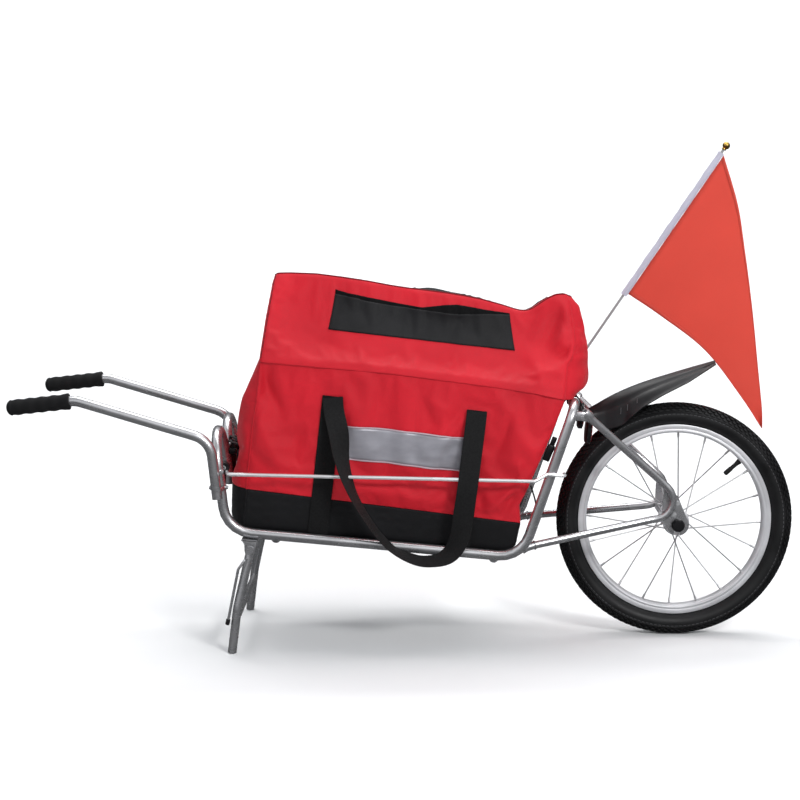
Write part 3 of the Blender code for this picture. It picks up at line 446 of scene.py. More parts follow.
def ribbon(centres, across, width, thickness, normals=None):
    """A flat band with thickness. It keeps a UV map: U runs along it in widths, V across it."""
    bm = bmesh.new()
    uv = bm.loops.layers.uv.new("UVMap")
    columns = 4
    rows, lengths = [], [0.0]
    for one, other in zip(centres, centres[1:]):
        lengths.append(lengths[-1] + (other - one).length)
    for index, centre in enumerate(centres):
        along = heading(centres, index)
        side = across[index] - along * across[index].dot(along)
        side.normalize()
        up = side.cross(along) if normals is None else normals[index]
        up.normalize()
        top, bottom = [], []
        for column in range(columns + 1):
            part = column / columns - 0.5
            edge = 1.0 - 0.45 * (abs(part) * 2) ** 6
            place = centre + side * (width * part)
            top.append(bm.verts.new(place + up * (thickness / 2 * edge)))
            bottom.append(bm.verts.new(place - up * (thickness / 2 * edge)))
        rows.append((top, bottom))

    def face(corners, marks):
        made = bm.faces.new(corners)
        for loop, mark in zip(made.loops, marks):
            loop[uv].uv = mark

    for index in range(len(rows) - 1):
        u0, u1 = lengths[index] / width, lengths[index + 1] / width
        for layer in (0, 1):
            one, other = rows[index][layer], rows[index + 1][layer]
            for column in range(columns):
                v0, v1 = column / columns, (column + 1) / columns
                face((one[column], one[column + 1], other[column + 1], other[column]),
                     ((u0, v0), (u0, v1), (u1, v1), (u1, v0)))
        for column in (0, columns):
            one, other = rows[index], rows[index + 1]
            face((one[0][column], other[0][column], other[1][column], one[1][column]),
                 ((u0, 0), (u1, 0), (u1, 0.02), (u0, 0.02)))
    for end in (rows[0], rows[-1]):
        for column in range(columns):
            bm.faces.new((end[0][column], end[0][column + 1], end[1][column + 1], end[1][column]))
    bmesh.ops.recalc_face_normals(bm, faces=bm.faces)
    return bm


def stitches(route, normals, spacing=0.0042, length=0.0026, width=0.00055):
    """Short raised threads along a route."""
    bodies = []
    carried = 0.0
    for one, other, normal in zip(route, route[1:], normals):
        along = other - one
        reach = along.length
        if reach == 0:
            continue
        along.normalize()
        side = normal.cross(along).normalized()
        while carried < reach:
            centre = one + along * carried
            bm = bmesh.new()
            ends = [centre - along * (length / 2), centre + along * (length / 2)]
            crown = centre + normal * (width * 0.9)
            verts = [bm.verts.new(ends[0]), bm.verts.new(crown - side * (width / 2) - along * (length * 0.3)),
                     bm.verts.new(crown + side * (width / 2) - along * (length * 0.3)),
                     bm.verts.new(crown - side * (width / 2) + along * (length * 0.3)),
                     bm.verts.new(crown + side * (width / 2) + along * (length * 0.3)), bm.verts.new(ends[1])]
            low = bm.verts.new(centre - normal * (width * 0.4))
            for corners in ((0, 1, 2), (1, 3, 4, 2), (3, 5, 4)):
                bm.faces.new([verts[i] for i in corners])
            for one_end, other_end in ((0, 2), (2, 4), (4, 5), (5, 3), (3, 1), (1, 0)):
                bm.faces.new((verts[one_end], verts[other_end], low))
            bmesh.ops.recalc_face_normals(bm, faces=bm.faces)
            bodies.append(bm)
            carried += spacing
        carried -= reach
    return bodies


def modify(obj, kind, **settings):
    """Gives an object a modifier."""
    made = obj.modifiers.new(kind.lower(), kind)
    for key, value in settings.items():
        setattr(made, key, value)
    return obj


def smooth_node(name):
    """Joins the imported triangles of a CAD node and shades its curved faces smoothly."""
    obj = NODES[name]
    mesh = obj.data
    for key in ("custom_normal", "sharp_edge", "sharp_face"):
        if key in mesh.attributes:
            mesh.attributes.remove(mesh.attributes[key])
    mesh.shade_smooth()
    modify(obj, "WELD", merge_threshold=0.00002)
    modify(obj, "EDGE_SPLIT", split_angle=math.radians(38))


# ---------------------------------------------------------------- the carried-over frame

SLOT_OF = {part["node"]: part["material_slot"] for part in frame["record"]["subparts"]}
for node_name, node_obj in NODES.items():
    node_obj.data.materials.clear()
    node_obj.data.materials.append(PAINT[SLOT_OF[node_name]])
    smooth_node(node_name)
for side, _ in SIDES:
    NODES[f"guard_rod_{side}"].data.materials[0] = BRIGHT_ROD


# ---------------------------------------------------------------- wheel


BLOCK_COUNT, BLOCK_DEPTH = 108, 0.0034
RIB_COUNT = 160
SPOKES_PER_SIDE = 10
FLANGE_Y = 0.0315
HOLE_RADIUS, TIP_RADIUS, SPOKE_RADIUS = 0.0190, 0.1486, 0.00118


def make_tyre():
    """The casing, its tread blocks, and a line of short ribs on each shoulder, painted lighter grey as a highlight."""
    carcass = [(0.1572, 0.0104), (0.1640, 0.0106), (0.1668, 0.0150), (0.1700, 0.0192), (0.1738, 0.0218),
               (0.1780, 0.0228), (0.1822, 0.0226), (0.1846, 0.0219), (0.1852, 0.0222), (0.1860, 0.0212),
               (0.1886, 0.0188), (0.1924, 0.0145), (0.1953, 0.0098), (0.1968, 0.0050), (0.1972, 0.0)]
    inside = [(0.1952, 0.0), (0.1900, 0.0125), (0.1780, 0.0182), (0.1690, 0.0128), (0.1655, 0.0066),
              (0.1572, 0.0062)]
    profile = mirrored(carcass)
    profile += [(r, -y) for r, y in inside[::-1]] + inside[1:]
    add_piece("tyre_casing", turned(profile, 180, closed=True), "tyre_rubber", "wheel", ["tyre"], smooth=50)

    # Rows of small blocks from shoulder to shoulder, each row shifted half a block on.
    rows = ((0.0, 0.1999, 0.0048), (0.0063, 0.1992, 0.0044), (0.0121, 0.1970, 0.0042), (0.0168, 0.1934, 0.0036),
            (0.0202, 0.1896, 0.0028))
    bm = bmesh.new()
    for row, (offset, top, wide) in enumerate(rows):
        for sign in ((1,) if offset == 0 else (1, -1)):
            lean = offset / 0.0235
            outward = Vector((math.cos(lean * 1.1), math.sin(lean * 1.1) * sign))
            across = Vector((-outward.y, outward.x)) * sign
            half_arc = math.pi / BLOCK_COUNT * 0.62
            for step in range(BLOCK_COUNT):
                angle = 2 * math.pi * (step + 0.5 * (row % 2)) / BLOCK_COUNT
                corners = []
                for depth in (BLOCK_DEPTH, 0.0):
                    ring = []
                    for turn, shift in ((-1, -1), (1, -1), (1, 1), (-1, 1)):
                        taper = 1.0 if depth else 0.86
                        radial = Vector((top, offset * sign)) - outward * depth + across * (wide / 2 * shift * taper)
                        a = angle + half_arc * turn * taper + 0.006 * shift * sign
                        ring.append(bm.verts.new((radial.x * math.cos(a), radial.y, radial.x * math.sin(a))))
                    corners.append(ring)
                low, high = corners
                bm.faces.new(high)
                bm.faces.new(low[::-1])
                skin(bm, corners, closed=True)
    bmesh.ops.recalc_face_normals(bm, faces=bm.faces)
    add_piece("tyre_tread", bm, "tyre_rubber", "wheel", smooth=20)

    # Short shoulder ribs, painted lighter grey as a highlight along each shoulder of the tyre.
    ribs = []
    for angle in angles(RIB_COUNT):
        for sign in (1, -1):
            out = Vector((math.cos(angle), 0, math.sin(angle)))
            along = Vector((-math.sin(angle), 0, math.cos(angle))) * 0.0022
            centre = out * 0.1828 + Vector((0, sign * 0.0226, 0))
            ribs.append(wire([centre - along, centre + along], 0.00055, 5))
    add_piece("tyre_shoulder_ribs", merged(ribs), "tyre_rubber", "wheel", paint=EDGE_HIGHLIGHT_RUBBER, smooth=30)


def make_rim_and_hub():
    """The rim, the inner tube and the hub's shell."""
    rim = [(0.1484, 0.0), (0.1487, 0.0050), (0.1493, 0.0085), (0.1506, 0.0112), (0.1526, 0.0125), (0.1552, 0.0122),
           (0.1560, 0.0119), (0.1568, 0.0122), (0.1626, 0.0125), (0.1635, 0.0121), (0.1637, 0.0113),
           (0.1630, 0.0107), (0.1572, 0.0105), (0.1564, 0.0060), (0.1560, 0.0)]
    rim_profile = rim + [(r, -y) for r, y in rim[-2:0:-1]]
    add_piece("rim_hoop", turned(rim_profile, 180, closed=True), "satin_alloy", "wheel", ["rim"], smooth=35)

    tube_ring = [(0.1808 + 0.0125 * math.cos(a), 0.0125 * math.sin(a)) for a in angles(16)]
    add_piece("inner_tube_ring", turned(tube_ring, 90, closed=True), "black_rubber", "wheel", ["inner_tube"])

    shell = [(0.0053, 0.0492), (0.0084, 0.0492), (0.0088, 0.0480), (0.0094, 0.0436), (0.0118, 0.0424),
             (0.0138, 0.0408), (0.0141, 0.0395), (0.0141, 0.0352), (0.0126, 0.0322), (0.0118, 0.0295),
             (0.0114, 0.0240), (0.0112, 0.0)]
    add_piece("hub_barrel", turned(mirrored(shell), 48, closed=True), "satin_alloy", "wheel", ["hub_shell"])


def make_spokes():
    """The hub's flanges, the hooked spokes with their heads, and the nipples."""
    nipples = []
    sweep = 2 * math.pi / SPOKES_PER_SIDE
    for side, sign in SIDES:
        flange_y = sign * FLANGE_Y
        flange = [(0.0110, -0.0013), (0.0212, -0.0013), (0.0224, -0.0009), (0.0226, 0.0), (0.0224, 0.0009),
                  (0.0212, 0.0013), (0.0110, 0.0013)]
        flange_bm = turned(flange, 60, closed=True)
        bmesh.ops.translate(flange_bm, vec=(0, flange_y, 0), verts=flange_bm.verts)
        add_piece(f"hub_flange_{side}", flange_bm, "satin_alloy", "wheel")
        wires = []
        for index in range(SPOKES_PER_SIDE):
            start = math.radians(3.0) + sweep * (index + (0.5 if sign > 0 else 0))
            end = start + (sweep if index % 2 else -sweep)
            face = 1 if index % 2 else -1
            hole = Vector((HOLE_RADIUS * math.cos(start), flange_y, HOLE_RADIUS * math.sin(start)))
            tip = Vector((TIP_RADIUS * math.cos(end), sign * 0.0015, TIP_RADIUS * math.sin(end)))
            out = Vector((0, face * 0.0030, 0))
            toward = (tip - hole).normalized()
            bend = hole + out * 0.75 + toward * 0.0016
            route = [hole - out, hole + out * 0.4, bend, hole + out * 0.9 + toward * 0.004, tip]
            wires.append(wire(route, SPOKE_RADIUS))
            head = turned([(0, -0.0011), (0.0014, -0.0009), (0.0018, 0.0), (0.0014, 0.0004), (0, 0.0005)], 10)
            wires.append(placed(head, (0, -face, 0), hole - out))
            nipple = turned([(0, 0.0), (0.0019, 0.0), (0.0019, 0.0085), (0.0014, 0.0100), (0.0011, 0.0125),
                             (0, 0.0125)], 10)
            nipples.append(placed(nipple, -toward, tip + toward * 0.0005))
        add_piece(f"spoke_wires_{side}", merged(wires), "spoke_wire", "wheel", [f"spokes_{side}"], smooth=50)
    add_piece("spoke_nipples", merged(nipples), "spoke_wire", "wheel")


def make_valve():
    """The valve's stem with its cap, pointing at the axle."""
    angle = math.radians(47.2)
    outward = Vector((math.cos(angle), 0, math.sin(angle)))
    stem = [(0, 0.0), (0.0048, 0.0), (0.0050, 0.0012), (0.0042, 0.0050), (0.0037, 0.0070), (0.0034, 0.0180),
            (0.0036, 0.0186), (0.0041, 0.0190), (0.0041, 0.0310), (0.0036, 0.0330), (0.0020, 0.0338), (0, 0.0339)]
    add_piece("valve_stem_capped", placed(turned(stem, 28), -outward, outward * 0.1482), "black_rubber", "wheel",
              ["valve_stem"])


# ---------------------------------------------------------------- grips


GRIP_LENGTH = 0.104
HANDLE_Y = 0.149


def make_grips():
    """Foam grips with soft rings, closed by a domed end."""
    wrist, tip = Vector((-1.005, 0, 0.1326)), Vector((-1.11, 0, 0.1113))
    out = (tip - wrist).normalized()
    for side, sign in SIDES:
        start = tip + out * (0.0065 - GRIP_LENGTH) + Vector((0, sign * HANDLE_Y, 0))
        profile = [(0.0088, 0.0), (0.0124, 0.0), (0.0133, 0.0008), (0.0136, 0.0024), (0.0134, 0.0042)]
        steps = 64
        for step in range(steps + 1):
            part = step / steps
            swell = 0.0006 * (math.cos(2 * math.pi * 4.5 * part) + 0.4)
            profile.append((0.0124 + swell, 0.0065 + 0.0875 * part))
        for step in range(1, 9):
            angle = math.pi / 2 * step / 8
            profile.append((0.0131 * math.cos(angle) if step < 8 else 0, 0.0940 + 0.0100 * math.sin(angle)))
        profile += [(0, 0.0980), (0.0088, 0.0980)]
        bm = placed(turned(profile, 48, closed=True), out, start)
        add_piece(f"foam_grip_{side}", bm, "black_foam", "frame", [f"handle_grip_{side}"])


# ---------------------------------------------------------------- bag

END_POINTS, CORNER_POINTS, SIDE_POINTS = 14, 4, 84
HALF_POINTS = 2 * END_POINTS + 2 * CORNER_POINTS + SIDE_POINTS
FLOOR_ROWS, BASE_ROWS, BODY_ROWS, LID_ROWS, TOP_ROWS = 5, 10, 36, 27, 7
RING_POINTS = 2 * HALF_POINTS - 2
BASE_TOP = FLOOR_ROWS + BASE_ROWS
SEAM_ROW = BASE_TOP + BODY_ROWS
RIDGE_ROW = SEAM_ROW + LID_ROWS
ROW_COUNT = RIDGE_ROW + TOP_ROWS

# Each piece's first row and the row past its last, its slot, and the CAD node that it replaces.
BAG_PARTS = {
    "bag_tub": (0, BASE_TOP, "black_oxford_cloth", "bag_base"),
    "bag_walls": (BASE_TOP, SEAM_ROW, "red_oxford_cloth", "bag_body"),
    "bag_cover": (SEAM_ROW, ROW_COUNT, "red_oxford_cloth", "bag_lid"),
}

# Each table holds heights above the wheel's centre and, under them, the measure at each height.
FRONT_CORNER = ((-0.061, 0.019, 0.108, 0.156, 0.220, 0.340, 0.356, 0.362),
                (-0.722, -0.722, -0.719, -0.7155, -0.7145, -0.7085, -0.7060, -0.7010))
FRONT_BULGE = ((-0.061, -0.046, 0.007, 0.037, 0.071, 0.121, 0.151, 0.160, 0.181, 0.205, 0.226, 0.290, 0.350),
               (0.0190, 0.0250, 0.0280, 0.0250, 0.0228, 0.0262, 0.0300, 0.0290, 0.0205, 0.0100, 0.0015, 0.0030,
                0.0005))
REAR_CORNER = ((-0.061, -0.046, -0.010, 0.020, 0.053, 0.117, 0.159, 0.193, 0.208, 0.258, 0.270, 0.294, 0.316,
                0.355, 0.367),
               (-0.2830, -0.2705, -0.2665, -0.2715, -0.2590, -0.2385, -0.2260, -0.2165, -0.2150, -0.2140, -0.2075,
                -0.2040, -0.2070, -0.2160, -0.2230))
REAR_BULGE = ((0.05, 0.120, 0.190, 0.197, 0.206, 0.213, 0.222, 0.241, 0.278, 0.310, 0.335, 0.355, 0.368),
              (0.002, 0.004, 0.002, 0.004, 0.018, 0.030, 0.0365, 0.0370, 0.0255, 0.0225, 0.0215, 0.0180, 0.0100))
HALF_WIDTH = ((-0.061, -0.052, -0.010, 0.050, 0.100, 0.160, 0.222), (0.1145, 0.1170, 0.1190, 0.1230, 0.1270, 0.1285,
                                                                    0.1260))
# The heights of the lid's near top edge, the lid's seam and the black base's edge, by the place along the bag.
RIDGE = ((-0.712, -0.7075, -0.702, -0.690, -0.678, -0.638, -0.598, -0.557, -0.516, -0.484, -0.435, -0.395, -0.362,
          -0.329, -0.305, -0.294, -0.285, -0.276, -0.255, -0.241, -0.230, -0.218, -0.207),
         (0.3520, 0.3570, 0.3600, 0.3615, 0.3625, 0.3645, 0.3630, 0.3605, 0.3565, 0.3545, 0.3530, 0.3505, 0.3470,
          0.3410, 0.3355, 0.3342, 0.3355, 0.3395, 0.3570, 0.3655, 0.3680, 0.3665, 0.3620))
SEAM = ((-0.72, -0.5, -0.33, -0.26, -0.21), (0.226, 0.226, 0.219, 0.214, 0.208))
BASE_EDGE = ((-0.742, -0.268), (0.0080, -0.0085))
TOP_SLOPE = 0.135
BAG_FLOOR = -0.061
FLOOR_LEVEL = ((0.0, 1.0), (BAG_FLOOR, BAG_FLOOR))


def read(table, value):
    """The measure that a table gives at a value."""
    return float(np.interp(value, *table))


def half_ring(level_of, half_of, bulges=1.0):
    """One row of the bag's left half, from the middle of its rear end to the middle of its front end."""
    z_front, z_rear = level_of(-0.715), level_of(-0.220)
    front, rear = read(FRONT_CORNER, z_front), read(REAR_CORNER, z_rear)
    half_rear, half_front = half_of(rear), half_of(front)
    radius = 0.0065
    points = []
    for step in range(END_POINTS):
        across = (half_rear - radius) * step / END_POINTS
        swell = read(REAR_BULGE, z_rear) * bulges * (1 - (across / half_rear) ** 4)
        points.append((rear + swell, -across))
    for step in range(CORNER_POINTS):
        angle = math.pi / 2 * step / CORNER_POINTS
        points.append((rear - radius * (1 - math.cos(angle)), -(half_rear - radius) - radius * math.sin(angle)))
    for step in range(SIDE_POINTS):
        x = rear - radius + (front - rear + 2 * radius) * step / SIDE_POINTS
        points.append((x, -half_of(x)))
    for step in range(CORNER_POINTS):
        angle = math.pi / 2 * step / CORNER_POINTS
        points.append((front + radius * (1 - math.sin(angle)), -(half_front - radius) - radius * math.cos(angle)))
    for step in range(END_POINTS):
        across = (half_front - radius) * (1 - step / (END_POINTS - 1))
        swell = read(FRONT_BULGE, z_front) * bulges * (1 - (across / half_front) ** 6)
        swell -= 0.0065 * math.exp(-(across / 0.022) ** 2 - ((z_front - 0.02) / 0.035) ** 2)
        points.append((front - swell, -across))
    return [Vector((x, y, level_of(x))) for x, y in points]


def bag_rows():
    """The rows of the left half, from the floor's middle up the flank to the middle of the top."""
    rows = []
    floor = half_ring(lambda x: BAG_FLOOR, lambda x: HALF_WIDTH[1][0])
    for step in range(FLOOR_ROWS):
        part = (step + 1) / (FLOOR_ROWS + 1)
        rows.append([Vector((-0.505 + (p.x + 0.505) * part, p.y * part, p.z)) for p in floor])
    for count, lower, upper in ((BASE_ROWS, FLOOR_LEVEL, BASE_EDGE), (BODY_ROWS, BASE_EDGE, SEAM)):
        for step in range(count):
            def level_of(x, part=step / count, low=lower, high=upper):
                return read(low, x) + part * (read(high, x) - read(low, x))

            rows.append(half_ring(level_of, lambda x, level=level_of: read(HALF_WIDTH, level(x))))
    for step in range(LID_ROWS + 1):
        part = step / LID_ROWS

        def level_of(x, part=part):
            return read(SEAM, x) + part * (read(RIDGE, x) - read(SEAM, x))

        def half_of(x, part=part):
            return 0.126 - 0.083 * part + 0.0045 * math.sin(math.pi * part)

        rows.append(half_ring(level_of, half_of))
    top = rows[-1]
    for step in range(1, TOP_ROWS):
        part = step / TOP_ROWS
        rows.append([Vector((-0.46 + (p.x + 0.46) * (1 - 0.020 * part), p.y * (1 - part),
                             p.z + 0.0012 * math.sin(math.pi * part) - 0.003 * part)) for p in top])
    return rows


FOLDS = (
    # Start (x, z), end (x, z), half width and height of soft folds in the bag's flanks.
    ((-0.715, 0.213), (-0.678, 0.152), 0.014, -0.0080),
    ((-0.702, 0.205), (-0.700, 0.168), 0.010, -0.0050),
    ((-0.645, 0.187), (-0.545, 0.220), 0.014, 0.0050),
    ((-0.705, 0.120), (-0.660, 0.040), 0.024, 0.0045),
    ((-0.650, 0.165), (-0.640, 0.060), 0.013, -0.0045),
    ((-0.560, 0.205), (-0.500, 0.160), 0.018, -0.0035),
    ((-0.485, 0.208), (-0.406, 0.169), 0.009, 0.0045),
    ((-0.455, 0.200), (-0.425, 0.150), 0.012, -0.0040),
    ((-0.400, 0.205), (-0.330, 0.190), 0.013, 0.0045),
    ((-0.395, 0.160), (-0.330, 0.185), 0.010, -0.0035),
    ((-0.320, 0.200), (-0.262, 0.120), 0.018, 0.0055),
    ((-0.300, 0.165), (-0.330, 0.060), 0.012, -0.0050),
    ((-0.320, 0.010), (-0.290, 0.045), 0.008, 0.0080),
    ((-0.300, -0.004), (-0.282, 0.040), 0.007, -0.0080),
    ((-0.335, 0.030), (-0.325, -0.005), 0.007, -0.0050),
    ((-0.280, 0.090), (-0.268, 0.010), 0.009, 0.0055),
    ((-0.236, 0.325), (-0.255, 0.285), 0.014, -0.0095),
    ((-0.262, 0.280), (-0.258, 0.222), 0.016, 0.0040),
    ((-0.222, 0.345), (-0.226, 0.300), 0.010, 0.0060),
    ((-0.219, 0.277), (-0.232, 0.268), 0.007, -0.0080),
    ((-0.300, 0.325), (-0.270, 0.260), 0.018, 0.0045),
    ((-0.560, 0.250), (-0.400, 0.262), 0.018, 0.0022),
    ((-0.690, 0.310), (-0.640, 0.245), 0.026, -0.0035),
    ((-0.530, 0.030), (-0.430, 0.022), 0.012, 0.0035),
    ((-0.545, 0.060), (-0.400, 0.050), 0.010, -0.0025),
)


def fold_height(x, z, flip):
    """How far the flank stands out at a place, from the listed folds and a slow ripple."""
    total = 0.0
    for (x0, z0), (x1, z1), width, height in FOLDS:
        run = Vector((x1 - x0, z1 - z0))
        reach = Vector((x - x0, z - z0))
        part = min(max(reach.dot(run) / run.length_squared, 0.0), 1.0)
        total += 1.35 * height * math.exp(-(((reach - run * part).length / width) ** 1.4))
    seed = Vector((x * 14.0, flip * 3.7, z * 14.0))
    total = total * (1.0 if flip < 0 else 0.8) + 0.0042 * noise.noise(seed) + 0.0026 * noise.noise(seed * 2.7)
    if z < 0.18:
        total *= 1 - 0.7 * math.exp(-(min(abs(x + 0.594), abs(x + 0.358)) / 0.022) ** 4)
    return total


CLOTH = {
    "quality": 7, "mass": 0.3, "tension_stiffness": 22, "compression_stiffness": 22, "shear_stiffness": 9,
    "bending_stiffness": 1.1, "vertex_group_mass": "pins", "pin_stiffness": 3.0, "shrink_min": -0.022,
    "use_pressure": True, "uniform_pressure_force": 0.35,
}
CLOTH_THICKNESS = 0.0012
SETTLE_FRAMES = 24
MOST_SHIFT = 0.014


def crumple(obj, pins):
    """Lets the cloth, cut a little larger than the shape, settle into wrinkles between its pinned seams."""
    group = obj.vertex_groups.new(name="pins")
    for index, weight in enumerate(pins):
        group.add([index], weight, "REPLACE")
    cloth = obj.modifiers.new("cloth", "CLOTH")
    for key, value in CLOTH.items():
        setattr(cloth.settings, key, value)
    cloth.settings.effector_weights.gravity = 0.25
    cloth.collision_settings.use_collision = False
    scene = bpy.context.scene
    cloth.point_cache.frame_start = 1
    cloth.point_cache.frame_end = SETTLE_FRAMES
    for step in range(1, SETTLE_FRAMES + 1):
        scene.frame_set(step)
    shape = obj.evaluated_get(bpy.context.evaluated_depsgraph_get())
    settled = [vert.co.copy() for vert in shape.data.vertices]
    obj.modifiers.remove(cloth)
    scene.frame_set(1)
    for vert, place in zip(obj.data.vertices, settled):
        shift = place - vert.co
        if shift.length > MOST_SHIFT:
            shift *= MOST_SHIFT / shift.length
        vert.co += shift
    obj.vertex_groups.clear()


def cut_piece(name, coordinates, faces):
    """A bmesh of some of the bag's faces, turned outward."""
    used = sorted({corner for face in faces for corner in face})
    renumber = {old: new for new, old in enumerate(used)}
    part = bpy.data.meshes.new(name)
    part.from_pydata([tuple(coordinates[old]) for old in used], [], [[renumber[c] for c in f] for f in faces])
    bm = bmesh.new()
    bm.from_mesh(part)
    bpy.data.meshes.remove(part)
    bmesh.ops.recalc_face_normals(bm, faces=bm.faces)
    middle = Vector((-0.48, 0, 0.15))
    outward = sum(face.calc_area() * face.normal.dot(face.calc_center_median() - middle) for face in bm.faces)
    if outward < 0:
        bmesh.ops.reverse_faces(bm, faces=bm.faces)
    return bm


def pin_weight(row, point, inside):
    """How firmly the cloth is held at a point while it settles. 1 holds it fast."""
    pin = 0.05
    if row <= BASE_TOP:
        pin = 1.0 if row < FLOOR_ROWS + 3 else 0.55
    if row == BASE_TOP or abs(row - SEAM_ROW) < 2 or abs(row - RIDGE_ROW) < 2:
        pin = 1.0
    if row > RIDGE_ROW + 1:
        pin = 0.5
    if abs(inside) < 0.35 and abs(point.y) > 0.03:
        pin = max(pin, 0.7)
    on_strap = min(abs(point.x + 0.594), abs(point.x + 0.359)) < 0.018 and point.z < 0.176
    if on_strap and abs(point.y) > 0.1:
        pin = max(pin, 0.30)
    return pin


def bag_points():
    """The points of all the rings with their folds, and the pin weight of each."""
    points, pins = [], []
    for row_index, row in enumerate(bag_rows()):
        rise = min(max((row_index - SEAM_ROW) / LID_ROWS, 0.0), 1.0)
        for point in row + [Vector((p.x, -p.y, p.z)) for p in row[-2:0:-1]]:
            side = 1 if point.y > 0 else -1
            if row_index <= SEAM_ROW:
                free = math.sin(math.pi * min(max((row_index - BASE_TOP) / BODY_ROWS, 0), 1))
            else:
                free = math.sin(math.pi * rise)
            inside = min(min(point.x - read(FRONT_CORNER, point.z), read(REAR_CORNER, point.z) - point.x) / 0.012, 1)
            flank = min(abs(point.y) / 0.05, 1.0)
            weight = flank * free ** 0.5 * max(inside, 0.0)
            place = point.copy()
            place.y += side * weight * fold_height(point.x, point.z, side)
            place.z -= TOP_SLOPE * max(point.y + 0.043, 0.0) * rise ** 1.5
            points.append(place)
            pins.append(pin_weight(row_index, point, inside))
    return points, pins


def bag_faces():
    """The faces between the rings, then those that close the floor and the top."""
    faces = []
    for first in range(0, (ROW_COUNT - 1) * RING_POINTS, RING_POINTS):
        for index in range(RING_POINTS):
            after = (index + 1) % RING_POINTS
            faces.append((first + index, first + RING_POINTS + index, first + RING_POINTS + after, first + after))
    for row_index in (0, ROW_COUNT - 1):
        first = row_index * RING_POINTS
        for index in range(HALF_POINTS - 1):
            pair = (first + (RING_POINTS - index - 1) % RING_POINTS, first + (RING_POINTS - index) % RING_POINTS)
            corners = list(dict.fromkeys((first + index, first + index + 1, *pair)))
            if len(corners) > 2:
                faces.append(corners)
    return faces


def add_bag_skirt(coordinates, picked):
    """Adds the lid's short skirt to its faces. It hangs over the seam."""
    first, tail = SEAM_ROW * RING_POINTS, len(coordinates)
    for index in range(RING_POINTS):
        edge = coordinates[first + index]
        lift = 0.0024 + 0.0040 * math.exp(-((edge.x + 0.243) / 0.02) ** 2)
        coordinates.append(edge + Vector((0, math.copysign(lift, edge.y), -0.0070)))
        after = (index + 1) % RING_POINTS
        picked.append((tail + index, first + index, first + after, tail + after))


def add_bag_piping(coordinates):
    """Piping up the four corners, and the darker binding on the lid's front corners and round its ridge."""
    pipings, dark = {name: [] for name in BAG_PARTS}, []
    stretches = (("bag_tub", FLOOR_ROWS, BASE_TOP), ("bag_walls", BASE_TOP, SEAM_ROW),
                 ("bag_cover", SEAM_ROW, RIDGE_ROW))
    rear_corner = END_POINTS + CORNER_POINTS // 2
    front_corner = rear_corner + CORNER_POINTS + SIDE_POINTS
    for flipped in (False, True):
        for corner in (rear_corner, front_corner):
            index = RING_POINTS - corner if flipped else corner
            for name, low, high in stretches:
                route = [coordinates[row * RING_POINTS + index] for row in range(low, high + 1)]
                bound = name == "bag_cover" and corner == front_corner
                (dark if bound else pipings[name]).append(wire(route, 0.0015, 8))
    for name, bodies in pipings.items():
        add_piece(name + "_piping", merged(bodies), BAG_PARTS[name][2], "frame")
    ridge = [coordinates[RIDGE_ROW * RING_POINTS + index] for index in (*range(RING_POINTS), 0)]
    dark.append(wire(ridge, 0.0014, 8))
    add_piece("bag_cover_binding", merged(dark), "red_oxford_cloth", "frame", paint=DARK_RED)


def make_bag():
    """The bag's three cloth pieces and their piping. Returns a tree for rays cast at the settled cloth."""
    points, pins = bag_points()
    faces = bag_faces()
    obj = bpy.data.objects.new("bag_whole", bpy.data.meshes.new("bag_whole"))
    cut_piece("bag_whole", points, faces).to_mesh(obj.data)
    bpy.context.scene.collection.objects.link(obj)
    crumple(obj, pins)
    coordinates = [vert.co.copy() for vert in obj.data.vertices]
    tree = BVHTree.FromPolygons(coordinates, [list(face) for face in faces])
    bpy.data.objects.remove(obj)
    for name, (low, high, slot, node) in BAG_PARTS.items():
        picked = [face for face in faces if low <= min(face) // RING_POINTS < high]
        if name == "bag_cover":
            add_bag_skirt(coordinates, picked)
        piece = add_piece(name, cut_piece(name, coordinates, picked), slot, "frame", [node], smooth=None)
        piece.data.shade_smooth()
        thicken(piece, CLOTH_THICKNESS, 1.0 if name == "bag_cover" else -0.2)
        modify(piece, "SUBSURF", levels=1, render_levels=1)
    add_bag_piping(coordinates)
    return tree


# ---------------------------------------------------------------- straps, bands, pocket and zip

STRAP_WIDTH = 0.033


def surface_at(tree, x, z, sign):
    """The bag's flank at a level place, and its outward normal."""
    hit, normal, _, _ = tree.ray_cast(Vector((x, sign * 0.3, z)), Vector((0, -sign, 0)))
    if hit is None:
        return Vector((x, sign * 0.126, z)), Vector((0, sign, 0))
    if normal.y * sign < 0:
        normal = -normal
    return hit, normal


def top_at(tree, x, y):
    """The bag's highest point at a place."""
    return tree.ray_cast(Vector((x, y, 0.5)), Vector((0, 0, -1)))[0]


def panel(tree, outline_at, columns, rows, sign, lift_of):
    """A sheet laid on the flank. outline_at maps (u, v) to (x, z), and lift_of to its height off the bag."""
    bm = bmesh.new()
    grid = []
    for row in range(rows + 1):
        line = []
        for column in range(columns + 1):
            u, v = column / columns, row / rows
            x, z = outline_at(u, v)
            place, normal = surface_at(tree, x, z, sign)
            line.append(bm.verts.new(place + normal * lift_of(u, v)))
        grid.append(line)
    skin(bm, grid if sign < 0 else grid[::-1])
    return bm


def thicken(piece, thickness, offset=1.0):
    """Gives a sheet its thickness: all of it outside at an offset of 1, half on each side at 0."""
    return modify(piece, "SOLIDIFY", thickness=thickness, offset=offset)


